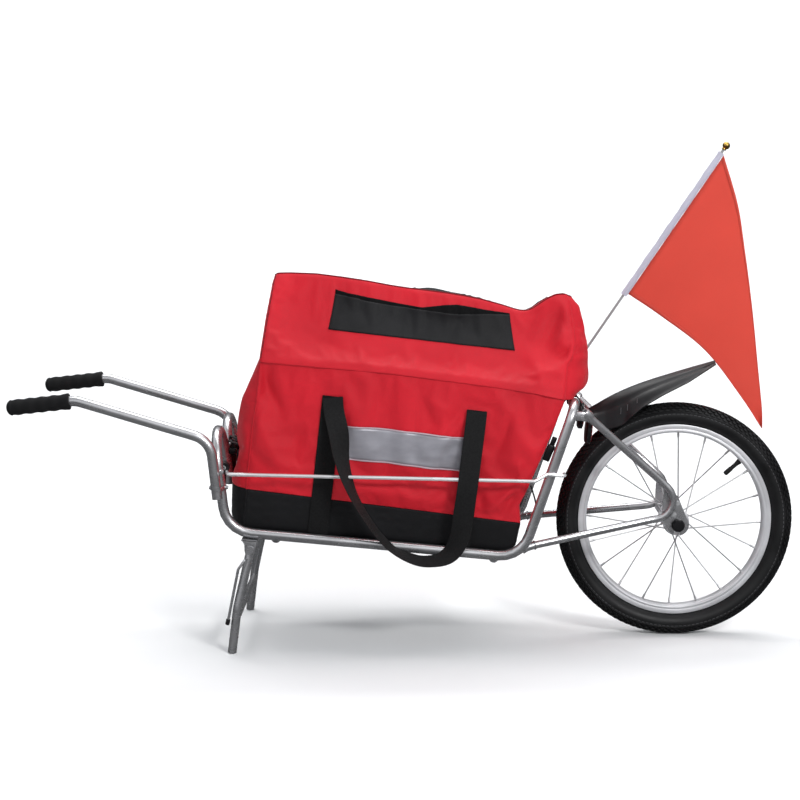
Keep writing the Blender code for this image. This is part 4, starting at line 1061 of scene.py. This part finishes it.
def make_bag_trim(tree):
    """The sewn straps and the reflective bands."""
    for side, sign in SIDES:
        for strap, x, high, low in (("front", -0.5910, 0.1750, -0.056), ("rear", -0.3550, 0.1725, -0.056)):
            centres, steps, floor = [], 44, -0.048
            for step in range(steps + 1):
                z = high + (low - high) * step / steps
                place = surface_at(tree, x - 0.0065 * step / steps, max(z, floor), sign)[0]
                if z < floor:
                    place.z = z
                centres.append(place)
            for index in range(2, len(centres) - 2):
                centres[index].y = sum(centres[j].y for j in range(index - 2, index + 3)) / 5
            lifted = [c + Vector((0, sign * 0.0024, 0)) for c in centres]
            flat = [Vector((0, sign, 0))] * len(lifted)
            across = [Vector((1, 0, 0))] * len(lifted)
            add_piece(f"sewn_strap_{strap}_{side}", ribbon(lifted, across, STRAP_WIDTH, 0.0017, flat),
                      "black_webbing", "frame", smooth=60)
            threads = []
            for shift in (-0.0140, 0.0140):
                route = [c + Vector((shift, sign * 0.0010, 0)) for c in lifted]
                threads += stitches(route, flat)
            for height in (high - 0.004, high - 0.027):
                z_index = min(range(len(lifted)), key=lambda i: abs(lifted[i].z - height))
                start = lifted[z_index] + Vector((-0.0140, sign * 0.0010, 0))
                route = [start + Vector((0.0035 * i, 0, 0)) for i in range(9)]
                threads += stitches(route, flat)
            add_piece(f"strap_stitching_{strap}_{side}", merged(threads), "black_webbing", "frame",
                      paint=BLACK_THREAD, smooth=None)

        def band(u, v):
            return -0.577 + 0.206 * u, 0.073 + 0.0535 * v + 0.0015 * math.sin(5 * u)

        tape = panel(tree, band, 40, 10, sign, lambda u, v: 0.0011)
        thicken(add_piece(f"reflective_band_{side}", tape, "white_sleeve", "frame", paint=TAPE), 0.0005)
        for edge, v0 in (("low", -0.03), ("high", 0.985)):
            trim = panel(tree, lambda u, v, v0=v0: band(u, v0 + 0.045 * v), 40, 1, sign, lambda u, v: 0.0017)
            thicken(add_piece(f"band_trim_{edge}_{side}", trim, "white_sleeve", "frame", paint=TRIM), 0.0006)


# The heights of the pocket's mouth and of the hem's top, by the part of the way along it.
POCKET_PARTS = (0.0, 0.07, 0.17, 0.31, 0.40, 0.50, 0.56, 0.64, 0.70, 0.80, 0.87, 1.0)
POCKET_MOUTH = (POCKET_PARTS, (0.3345, 0.3325, 0.3275, 0.3240, 0.3225, 0.3200, 0.3185, 0.3170, 0.3170, 0.3200, 0.3225,
                               0.3255))
HEM_TOP = (POCKET_PARTS, (0.3420, 0.3380, 0.3345, 0.3300, 0.3272, 0.3252, 0.3282, 0.3325, 0.3345, 0.3320, 0.3298,
                          0.3278))


def make_pocket(tree):
    """The open-topped pocket on the left lid panel: a black front that gapes, and the hem above its mouth, painted
    darker as the shade inside the mouth.
    """
    def pocket(u, v):
        x = -0.609 + 0.308 * u + (0.004 - 0.017 * u) * v
        low = 0.2775 - 0.008 * u
        return x, low + (read(POCKET_MOUTH, u) - low) * v

    def gape(u, v):
        open_part = math.exp(-((u - 0.66) / 0.22) ** 2) + 0.4 * math.exp(-((u - 0.10) / 0.09) ** 2)
        return 0.0012 + 0.0070 * v ** 4 * open_part + 0.0010 * v * math.sin(9 * u) ** 2

    front = add_piece("pocket_front", panel(tree, pocket, 72, 20, -1, gape), "black_oxford_cloth", "frame")
    thicken(front, 0.0010)

    # The hem, with the pocket's inside wall below it, is painted darker than the black cloth as painted shade in the
    # mouth.
    def hem(u, v):
        low = read(POCKET_MOUTH, u) - 0.008
        return -0.605 + 0.291 * u, low + (read(HEM_TOP, u) - low) * v

    back = add_piece("pocket_hem", panel(tree, hem, 72, 8, -1, lambda u, v: 0.0006 + 0.0012 * v), "black_oxford_cloth",
                     "frame", paint=POCKET_SHADE_CLOTH)
    thicken(back, 0.0008)
    edge_route, edge_normals = [], []
    for step in range(121):
        part = step / 120
        x, z = pocket(part, 0.0)
        place, normal = surface_at(tree, x, z + 0.0022, -1)
        edge_route.append(place + normal * 0.0024)
        edge_normals.append(normal)
    add_piece("pocket_stitching", merged(stitches(edge_route, edge_normals)), "black_oxford_cloth", "frame",
              paint=BLACK_THREAD, smooth=None)


def make_ridge_trim(tree):
    """The zip along the top of the lid, and the webbing grab handle that bows up beside it."""
    grid = []
    for step in range(111):
        line = []
        for column in range(7):
            line.append(top_at(tree, -0.690 + 0.004 * step, 0.006 + 0.005 * (column - 3)) + Vector((0, 0, 0.0019)))
        grid.append(line)
    bm = bmesh.new()
    skin(bm, list(zip(*[[bm.verts.new(point) for point in line] for line in grid])))
    thicken(add_piece("zip_tape", bm, "black_webbing", "frame", smooth=60), 0.0010)
    tape_rows = [line[3] + Vector((0, 0, 0.0010)) for line in grid[::2]]
    teeth = []
    for one, other in zip(tape_rows, tape_rows[1:]):
        for part in (0.0, 0.25, 0.5, 0.75):
            centre = one.lerp(other, part) + Vector((0, 0.0007 if part in (0.0, 0.5) else -0.0007, 0.0010))
            teeth.append(block(centre - Vector((0.0008, 0.0017, 0.0006)), centre + Vector((0.0008, 0.0017, 0.0006))))
    add_piece("zip_coil", merged(teeth), "black_plastic", "frame", smooth=None)
    route = smooth_route([(-0.505, 0.020, 0.3480), (-0.485, 0.020, 0.3500), (-0.465, 0.020, 0.3535),
                          (-0.448, 0.020, 0.3550), (-0.425, 0.020, 0.3525), (-0.400, 0.020, 0.3465),
                          (-0.370, 0.020, 0.3420), (-0.335, 0.020, 0.3360), (-0.315, 0.020, 0.3330)], 6)
    lifted = []
    for point in route:
        lowest = top_at(tree, point.x, point.y).z + 0.0025
        lifted.append(Vector((point.x, point.y, max(point.z - 0.0060, lowest))))
    tilts = [0.26 * math.sin(math.pi * index / (len(lifted) - 1)) for index in range(len(lifted))]
    across = [Vector((0, math.cos(tilt), math.sin(tilt))) for tilt in tilts]
    add_piece("ridge_handle", ribbon(lifted, across, 0.028, 0.0022), "black_webbing", "frame", smooth=60)


# Degrees that the loop's webbing is turned towards edge-on, by the part of the way along it.
LOOP_TWIST = ((0.0, 0.12, 0.20, 0.27, 0.34, 0.45, 0.56, 0.64, 0.72, 0.80, 1.0),
              (0.0, 6.0, 52.0, 72.0, 78.0, 79.0, 66.0, 30.0, 6.0, 2.0, 0.0))


def make_carry_loops():
    """The long webbing loops: flat at their sewn ends, turned nearly edge-on where they hang below the rail."""
    for side, sign in SIDES:
        route = smooth_route(
            [(-0.5905, 0.1335, 0.1735), (-0.5860, 0.1375, 0.1500), (-0.5755, 0.1475, 0.1180),
             (-0.5650, 0.1550, 0.0710), (-0.5450, 0.1575, 0.0240), (-0.5200, 0.1565, -0.0140),
             (-0.4920, 0.1545, -0.0470), (-0.4620, 0.1525, -0.0690), (-0.4200, 0.1510, -0.0800),
             (-0.3830, 0.1525, -0.0680), (-0.3660, 0.1560, -0.0380), (-0.3620, 0.1580, 0.0100),
             (-0.3595, 0.1565, 0.0500), (-0.3575, 0.1480, 0.1000), (-0.3555, 0.1385, 0.1480),
             (-0.3550, 0.1335, 0.1710)], 8)
        centres = [Vector((p.x, sign * p.y, p.z)) for p in route]
        across = []
        for index in range(len(centres)):
            in_plane = heading(centres, index).cross(Vector((0, sign, 0))).normalized()
            turn = math.radians(read(LOOP_TWIST, index / (len(centres) - 1)))
            across.append(in_plane * math.cos(turn) + Vector((0, 1, 0)) * (sign * math.sin(turn)))
        add_piece(f"carry_loop_{side}", ribbon(centres, across, STRAP_WIDTH, 0.0018), "black_webbing", "frame",
                  [f"carry_handle_{side}"], smooth=60)


# ---------------------------------------------------------------- flag


# The pole stands in the plane y = FLAG_Y and leans back from its foot. The pennant's hoist starts part of the way up.
FLAG_Y = 0.1495
POLE_LEAN = math.radians(28.8)
POLE_ALONG = Vector((math.sin(POLE_LEAN), 0, math.cos(POLE_LEAN)))
POLE_ACROSS = Vector((POLE_ALONG.z, 0, -POLE_ALONG.x))
POLE_FOOT = Vector((-0.2174, FLAG_Y, 0.1636))
POLE_LENGTH = 0.535
HOIST_LOW = POLE_FOOT + POLE_ALONG * 0.214
HOIST = 0.31


def make_pennant():
    """The pennant and its two hems. Returns the pennant, the hems and the pennant's area."""
    low, along, across = HOIST_LOW, POLE_ALONG, POLE_ACROSS
    tip = Vector((0.160, FLAG_Y, 0.148))
    columns, rows = 40, 36
    outer = smooth_route([low + along * (HOIST - 0.001) + across * 0.006, (0.0735, FLAG_Y, 0.537),
                          (0.0945, FLAG_Y, 0.459), (0.1115, FLAG_Y, 0.390), (0.1350, FLAG_Y, 0.286),
                          (0.1560, FLAG_Y, 0.185), tip], 8)
    lower = smooth_route([low + along * 0.018 + across * 0.006, (-0.041, FLAG_Y, 0.3315), (0.044, FLAG_Y, 0.2775),
                          (0.115, FLAG_Y, 0.2025), tip], 8)
    grid = []
    for row in range(rows + 1):
        v, line = row / rows, []
        for column in range(columns + 1):
            u = column / columns
            place = along_route(lower, u).lerp(along_route(outer, u), v)
            ripple = 0.0055 * math.sin(7.0 * u + 2.2 * v) * u * (1 - 0.35 * u) + 0.002 * math.sin(15 * u - 4 * v) * u
            place.y += ripple
            line.append(place)
        grid.append(line)
    bm = bmesh.new()
    skin(bm, [[bm.verts.new(place) for place in line] for line in grid])
    bmesh.ops.remove_doubles(bm, verts=bm.verts, dist=0.00005)
    bmesh.ops.recalc_face_normals(bm, faces=bm.faces)
    area = sum(face.calc_area() for face in bm.faces)
    pennant = add_piece("pennant", bm, "orange_red_nylon", "flag", ["flag"])
    thicken(pennant, 0.0003, 0.0)

    hem_pieces = []
    for name, edge_row, inner_row in (("upper", grid[-1], grid[-2]), ("lower", grid[0], grid[1])):
        bm = bmesh.new()
        lines = []
        for edge, inner in zip(edge_row, inner_row):
            toward = inner - edge
            reach = min(toward.length, 0.0075)
            toward = toward.normalized() if toward.length > 1e-6 else Vector((0, 0, 0))
            lines.append([bm.verts.new(edge), bm.verts.new(edge + toward * reach)])
        for one, other in zip(lines, lines[1:]):
            if len({tuple(v.co) for v in (one[0], one[1], other[1], other[0])}) == 4:
                bm.faces.new((one[0], one[1], other[1], other[0]))
        hem_pieces.append(thicken(add_piece(f"pennant_hem_{name}", bm, "orange_red_nylon", "flag"), 0.0011, 0.0))
    return pennant, hem_pieces, area


def make_flag():
    """The pennant, the stitched sleeve that holds it to the pole, and the ball on the pole's tip."""
    pennant, hem_pieces, area = make_pennant()
    start = 0.012
    profile = [(0.0027, start)]
    for step in range(41):
        part = step / 40
        swell = 0.0004 * math.sin(31 * part) + 0.0003 * math.sin(83 * part)
        profile.append((0.0060 + swell, start + (HOIST - start) * part))
    profile += [(0.0027, HOIST)]
    bm = turned(profile, 28, closed=True)
    for vert in bm.verts:
        vert.co.z *= 1.12
        vert.co.x *= 0.86
    sleeve = add_piece("pole_sleeve", placed(bm, POLE_ALONG, HOIST_LOW), "white_sleeve", "flag", ["flag_sleeve"])
    seam_start = HOIST_LOW + POLE_ACROSS * 0.0052 + Vector((0, -0.0034, 0))
    seam_route = [seam_start + POLE_ALONG * (start + (HOIST - start) * i / 60) for i in range(61)]
    threads = add_piece("sleeve_stitching", merged(stitches(seam_route, [Vector((0.3, -1, 0)).normalized()] * 61)),
                        "white_sleeve", "flag", smooth=None)
    ball_profile = [(0, 0.0), (0.0036, 0.0), (0.0040, 0.0014), (0.0036, 0.0026)]
    for step in range(1, 21):
        angle = math.radians(32 + 148 * step / 20)
        ball_profile.append((0.0066 * math.sin(angle) if step < 20 else 0, 0.0086 - 0.0066 * math.cos(angle)))
    top = POLE_FOOT + POLE_ALONG * 0.0043 + POLE_ALONG * (POLE_LENGTH - 0.009 + 0.0003)
    add_piece("pole_ball", placed(turned(ball_profile, 36), POLE_ALONG, top), "brass_ball", "flag", ["flag_ball"])
    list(hem_pieces)


# ---------------------------------------------------------------- mudguard


# How far the blade's edges hang below its crown, by the place along it.
SKIRT_DROP = ((-0.163, -0.150, -0.135, -0.126, -0.110, -0.103, -0.098, -0.088, -0.078, -0.065, -0.044, -0.004, 0.040),
              (0.014, 0.031, 0.047, 0.0505, 0.053, 0.052, 0.047, 0.042, 0.0365, 0.0325, 0.0265, 0.0185, 0.004))


def make_mudguard():
    """The creased blade, and the lips of the slots along its edges, painted lighter grey as edge highlights."""
    crown = smooth_route([(-0.163, 0, 0.1745), (-0.122, 0, 0.203), (-0.078, 0, 0.2265), (-0.0165, 0, 0.2525),
                          (0.0403, 0, 0.2747)], 12)
    columns = 28
    grids = ([], [])
    for index, point in enumerate(crown):
        part = index / (len(crown) - 1)
        half = 0.031 + 0.010 * math.sin(math.pi * min(part * 1.25, 1)) - 0.017 * max(part - 0.8, 0) * 5
        drop = read(SKIRT_DROP, point.x)
        tops, bottoms = [], []
        for column in range(columns + 1):
            across = 2 * column / columns - 1
            crease = 0.0022 * math.exp(-((abs(across) - 0.52) / 0.07) ** 2)
            spine = 0.0015 * math.exp(-(across / 0.10) ** 2)
            place = point + Vector((0, half * across, -drop * abs(across) ** 1.7 - crease + spine))
            lip = 0.0012 if abs(across) > 0.95 else 0.0
            place += Vector((0, math.copysign(lip, across), lip * 0.5))
            tops.append(place)
            bottoms.append(place + Vector((0.0007, -0.0014 * across, -0.0018)))
        grids[0].append(tops)
        grids[1].append(bottoms)
    bm = bmesh.new()
    top = [[bm.verts.new(p) for p in row] for row in grids[0]]
    bottom = [[bm.verts.new(p) for p in row] for row in grids[1]]
    skin(bm, top)
    skin(bm, bottom)
    for end in (0, -1):
        skin(bm, (top[end], bottom[end]))
    for end in (0, -1):
        skin(bm, [[row[end] for row in grid] for grid in (top, bottom)])
    bmesh.ops.recalc_face_normals(bm, faces=bm.faces)
    add_piece("mudguard_blade", bm, "black_plastic", "mudguard", ["mudguard"], smooth=50)
    # The slot lips are painted lighter grey than the blade, as painted edge highlights.
    lips = []
    for x in (-0.1125, -0.1000, -0.0880):
        row = min(grids[0], key=lambda line: abs(line[0].x - x))
        for picked in (row[3:6], row[-6:-3]):
            out = Vector((0, math.copysign(0.0004, picked[0].y), 0.0005))
            lips.append(wire([point + out for point in picked], 0.0006, 6))
    add_piece("mudguard_slot_lips", merged(lips), "black_plastic", "mudguard", paint=EDGE_HIGHLIGHT_RUBBER)


# ---------------------------------------------------------------- small hardware


def weld_bead(centre, direction, radius, phase):
    """A rippled weld fillet round a tube's end. The phase shifts its ripples."""
    centre, direction = Vector(centre), Vector(direction).normalized()
    one = direction.orthogonal().normalized()
    other = direction.cross(one)
    bm = bmesh.new()
    rings = []
    for step, angle in enumerate(angles(40)):
        out = one * math.cos(angle) + other * math.sin(angle)
        thick = 0.0013 + 0.00022 * math.sin(step * 2.5 + phase)
        rings.append([bm.verts.new(centre + out * (radius + thick * 0.8 * math.cos(a))
                                   + direction * (thick * math.sin(a))) for a in angles(8)])
    skin(bm, rings + rings[:1], closed=True)
    bmesh.ops.recalc_face_normals(bm, faces=bm.faces)
    return bm


def hex_bolt(place, direction, size=0.0046, height=0.0032):
    """A hexagonal head with a chamfer, on a washer."""
    washer = turned([(0, 0.0), (size * 1.35, 0.0), (size * 1.35, 0.0008), (0, 0.0008)], 24)
    head = turned([(0, 0.0008), (size, 0.0008), (size, height * 0.8), (size * 0.86, height), (0, height)], 6)
    return [placed(washer, direction, place), placed(head, direction, place)]


# The right-hand wheel stay's two ends, each with the next bend along the stay.
STAY_FOOT, FOOT_NEXT = (-0.2438, 0.1255, -0.043), (-0.045, 0.062, 0.006)
STAY_TOP, TOP_NEXT = (-0.179, 0.1235, 0.1822), (-0.045, 0.062, 0.0787)
RAIL_Y = 0.131


def make_hardware():
    """Weld beads, plate bolts, the stays' flared feet, and a collar with a lug and a bolt at each stay's top."""
    beads, bolts, feet = [], [], []
    for _, sign in SIDES:
        foot, top = on_side(sign, STAY_FOOT), on_side(sign, STAY_TOP)
        rise, fall = on_side(sign, FOOT_NEXT) - foot, on_side(sign, TOP_NEXT) - top
        beads.append(weld_bead(foot + rise.normalized() * 0.004, rise, 0.0068, sign))
        beads.append(weld_bead(top + fall.normalized() * 0.003, fall, 0.0068, sign * 2))
        beads.append(weld_bead((-0.197, sign * 0.0952, 0.195), (0, 1, 0), 0.0088, 3 * sign))
        beads.append(weld_bead((-0.747 - 0.2 * (0.0366 + 0.0635), sign * RAIL_Y, 0.0366), (-0.2, 0, 1), 0.0088,
                               5 * sign))
        for x in (-0.665, -0.305):
            beads.append(weld_bead((x, sign * 0.1225, -0.0702), (0, 1, 0), 0.0068, 7 * sign + x))
        for x, z in ((-0.0085, 0.0160), (-0.0050, 0.0365)):
            bolts += hex_bolt((x, sign * 0.0552, z), (0, sign, 0), 0.0036, 0.0030)
        feet.append(wire([foot + rise * 0.02, (-0.2520, sign * 0.1275, -0.0465), (-0.2600, sign * 0.1290, -0.0520)],
                         0.0062, 16))
    add_piece("weld_beads", merged(beads), "silver_tube", "frame", smooth=60)
    add_piece("plate_bolts", merged(bolts), "spoke_wire", "frame", smooth=30)
    add_piece("stay_feet", merged(feet), "silver_tube", "frame", smooth=50)
    for side, sign in SIDES:
        top = on_side(sign, STAY_TOP)
        along = (on_side(sign, TOP_NEXT) - top).normalized()
        collar = turned([(0.0066, -0.004), (0.0084, -0.004), (0.0092, -0.002), (0.0092, 0.010), (0.0084, 0.012),
                         (0.0066, 0.012)], 28, closed=True)
        lug = side_block(sign, (-0.1960, 0.1150, 0.1700), (-0.1760, 0.1290, 0.1850), 0.0025)
        head = hex_bolt((-0.1840, sign * 0.1290, 0.1765), (0, sign, 0), 0.0034, 0.0030)
        add_piece(f"stay_collar_{side}", merged([placed(collar, along, top), lug, *head]), "silver_tube",
                  "frame", [f"stay_gusset_{side}"], smooth=35)


def slab(outline, low_y, high_y, bevel):
    """An x-z outline pushed through from low_y to high_y."""
    bm = bmesh.new()
    face = bm.faces.new([bm.verts.new((x, low_y, z)) for x, z in outline])
    made = bmesh.ops.extrude_face_region(bm, geom=[face])
    moved = [item for item in made["geom"] if isinstance(item, bmesh.types.BMVert)]
    bmesh.ops.translate(bm, vec=(0, high_y - low_y, 0), verts=moved)
    bmesh.ops.recalc_face_normals(bm, faces=bm.faces)
    soften(bm, bevel)
    return bm


def make_stand_brackets():
    """Narrow ears that take the stand's pivot rod from below, under a short bridge on each rail."""
    x, z, top = -0.705, -0.0895, -0.0723
    lower = [(x + 0.0084 * math.cos(turn), z + 0.0084 * math.sin(turn))
             for turn in np.radians(np.linspace(0.0, -58.0, 5))]
    slot = [(x + 0.0041 * math.cos(turn), z + 0.0041 * math.sin(turn)) for turn in np.radians(np.linspace(0, 180, 7))]
    outline = [(x - 0.0150, top), (x + 0.0105, top), *lower, *slot,
               *[(2 * x - px, pz) for px, pz in reversed(lower)], (x - 0.0095, top - 0.0080)]
    for side, sign in SIDES:
        bodies = [slab(outline, *sorted((sign * near, sign * far)), 0.0005)
                  for near, far in ((0.1435, 0.1460), (0.1200, 0.1225))]
        bodies.append(side_block(sign, (x - 0.0150, 0.1200, top - 0.0025), (x + 0.0105, 0.1460, top), 0.0006))
        add_piece(f"stand_ears_{side}", merged(bodies), "silver_tube", "frame", [f"stand_bracket_{side}"], smooth=35)


def make_buckles():
    """Short webbing ties with side-release buckles that hold the bag to the rear and front uprights."""
    plastics, rings, webs = [], [], []
    for _, sign in SIDES:
        body = block((-0.0060, -0.0045, -0.015), (0.0060, 0.0045, 0.013), 0.0022)
        latch = block((-0.0040, -0.0030, 0.011), (0.0040, 0.0030, 0.027), 0.0015)
        shift = Matrix.Translation((-0.2315, sign * 0.1180, 0.1130)) @ Matrix.Rotation(math.radians(17), 4, "Y")
        for bm in (body, latch):
            bmesh.ops.transform(bm, matrix=shift, verts=bm.verts)
            plastics.append(bm)
        knob = turned([(0, 0.0), (0.0085, 0.0), (0.0096, 0.0012), (0.0096, 0.0125), (0.0085, 0.0140),
                       (0.0050, 0.0140), (0.0046, 0.0128), (0, 0.0128)], 32)
        plastics.append(placed(knob, (0, sign, 0), (-0.7600, sign * 0.1120, 0.0400)))
        plastics.append(side_block(sign, (-0.7650, 0.118, 0.0100), (-0.7550, 0.126, 0.0330), 0.0018))
        eye = [(0.0022, 0.0), (0.0040, 0.0), (0.0040, 0.0010), (0.0022, 0.0010)]
        rings.append(placed(turned(eye, 28, closed=True), (0, sign, 0), (-0.7600, sign * 0.1252, 0.0400)))
        plastics.append(side_block(sign, (-0.7660, 0.017, 0.0470), (-0.7500, 0.029, 0.0560), 0.0022))
        tie = [Vector(point) for point in ((-0.7690, sign * 0.023, 0.0700), (-0.7600, sign * 0.023, 0.0670),
                                           (-0.7520, sign * 0.023, 0.0655), (-0.7440, sign * 0.023, 0.0620))]
        webs.append(ribbon(tie, [Vector((0, 1, 0))] * 4, 0.014, 0.0022))
        cord = smooth_route([(-0.2560, sign * 0.122, 0.0560), (-0.2500, sign * 0.124, 0.0420),
                             (-0.2450, sign * 0.124, 0.0280), (-0.2430, sign * 0.122, 0.0140)], 4)
        webs.append(wire(cord, 0.0014))
    add_piece("tie_buckles", merged(plastics), "black_plastic", "frame", smooth=40)
    add_piece("clip_washers", merged(rings), "spoke_wire", "frame", smooth=40)
    add_piece("short_ties", merged(webs), "black_webbing", "frame", paint=BLACK_THREAD, smooth=40)


def make_stage():
    """The studio floor with its curved back, the world, and four area lights."""
    bpy.ops.mesh.primitive_plane_add(size=1.0)
    bpy.context.object.name = "studio_floor"
    floor = bpy.context.object
    bm = bmesh.new()
    rows = []
    for y, z in [(-6.0, 0.0), (2.2, 0.0)] + [(2.2 + 1.6 * math.sin(a), 1.6 - 1.6 * math.cos(a)) for a in
                                               (math.pi / 2 * i / 16 for i in range(1, 17))] + [(3.8, 7.0)]:
        rows.append([bm.verts.new((x, y, z)) for x in (-9.0, 9.0)])
    skin(bm, rows)
    bm.to_mesh(floor.data)
    bm.free()
    floor.data.shade_smooth()
    paint = Paint("studio_floor_paint", (0.86, 0.86, 0.86), 0.75)
    paint.vary_colour(paint.noise(3.0, 4.0), 0.985, 1.01)
    paint.bump(paint.noise(120.0, 3.0), 0.0001, 0.3)
    floor.data.materials.append(paint.material)
    floor.visible_glossy = False

    world = bpy.data.worlds.new("studio_world")
    bpy.context.scene.world = world
    world.use_nodes = True
    tree = world.node_tree
    plain = tree.nodes["Background"]
    plain.inputs["Color"].default_value = (0.80, 0.84, 0.90, 1.0)
    plain.inputs["Strength"].default_value = 0.55
    # What shiny surfaces mirror: a dark room with light from above and in front.
    split = add_node(tree, "ShaderNodeSeparateXYZ", [(0, add_node(tree, "ShaderNodeTexCoord").outputs["Generated"])])
    shape = add_node(tree, "ShaderNodeMath", [(0, split.outputs["Y"]), (2, split.outputs["Z"])],
                     operation="MULTIPLY_ADD")
    shape.inputs[1].default_value = -0.35
    ramp = add_node(tree, "ShaderNodeValToRGB", [("Fac", shape.outputs["Value"])])
    stops = ((0.0, 0.10), (0.22, 0.16), (0.42, 0.42), (0.62, 0.95), (0.85, 1.0), (1.0, 0.55))
    for index, (place, value) in enumerate(stops):
        element = ramp.color_ramp.elements[index] if index < 2 else ramp.color_ramp.elements.new(place)
        element.position = place
        element.color = (value * 0.97, value * 0.98, value, 1.0)
    reflected = add_node(tree, "ShaderNodeBackground", [("Color", ramp.outputs["Color"])], Strength=1.0)
    glossy = add_node(tree, "ShaderNodeLightPath").outputs["Is Glossy Ray"]
    mix = add_node(tree, "ShaderNodeMixShader",
                   [("Fac", glossy), (1, plain.outputs["Background"]), (2, reflected.outputs["Background"])])
    tree.links.new(mix.outputs["Shader"], tree.nodes["World Output"].inputs["Surface"])

    def area(name, place, target, size, power):
        light = bpy.data.lights.new(name, "AREA")
        light.shape = "RECTANGLE"
        light.size, light.size_y = size
        light.energy = power
        obj = bpy.data.objects.new(name, light)
        obj.location = place
        obj.rotation_euler = (Vector(target) - Vector(place)).to_track_quat("-Z", "Y").to_euler()
        bpy.context.scene.collection.objects.link(obj)

    area("key_light", (1.6, -2.8, 2.3), (0.0, 0.0, 0.3), (0.8, 0.6), 71)
    area("fill_light", (-2.6, -2.4, 1.6), (0.0, 0.0, 0.3), (1.4, 1.4), 3)
    area("top_light", (0.1, 0.3, 3.2), (0.0, 0.1, 0.0), (2.6, 1.6), 42)
    area("back_light", (0.0, 1.6, 3.4), (0.0, 3.2, 0.8), (4.0, 1.0), 90)
    bpy.context.scene.view_settings.view_transform = "Standard"


def make_camera():
    """The photograph's view, estimated."""
    pitch, yaw = math.radians(7.717), math.radians(1.231)
    forward = Vector((-math.sin(yaw) * math.cos(pitch), math.cos(yaw) * math.cos(pitch), -math.sin(pitch)))
    right = forward.cross(Vector((0, 0, 1))).normalized()
    up = right.cross(forward)
    camera = bpy.data.cameras.new("camera")
    camera.lens = 83.0
    camera.sensor_width = 36.0
    obj = bpy.data.objects.new("camera", camera)
    obj.matrix_world = Matrix((
        (right.x, up.x, -forward.x, AXLE.x - 0.40015),
        (right.y, up.y, -forward.y, -3.1),
        (right.z, up.z, -forward.z, 0.8224),
        (0, 0, 0, 1),
    ))
    bpy.context.scene.collection.objects.link(obj)
    bpy.context.scene.camera = obj


make_camera()
make_stage()
make_tyre()
make_rim_and_hub()
make_spokes()
make_valve()
make_grips()
bag_tree = make_bag()
make_bag_trim(bag_tree)
make_pocket(bag_tree)
make_ridge_trim(bag_tree)
make_carry_loops()
make_flag()
make_mudguard()
make_hardware()
make_stand_brackets()
make_buckles()
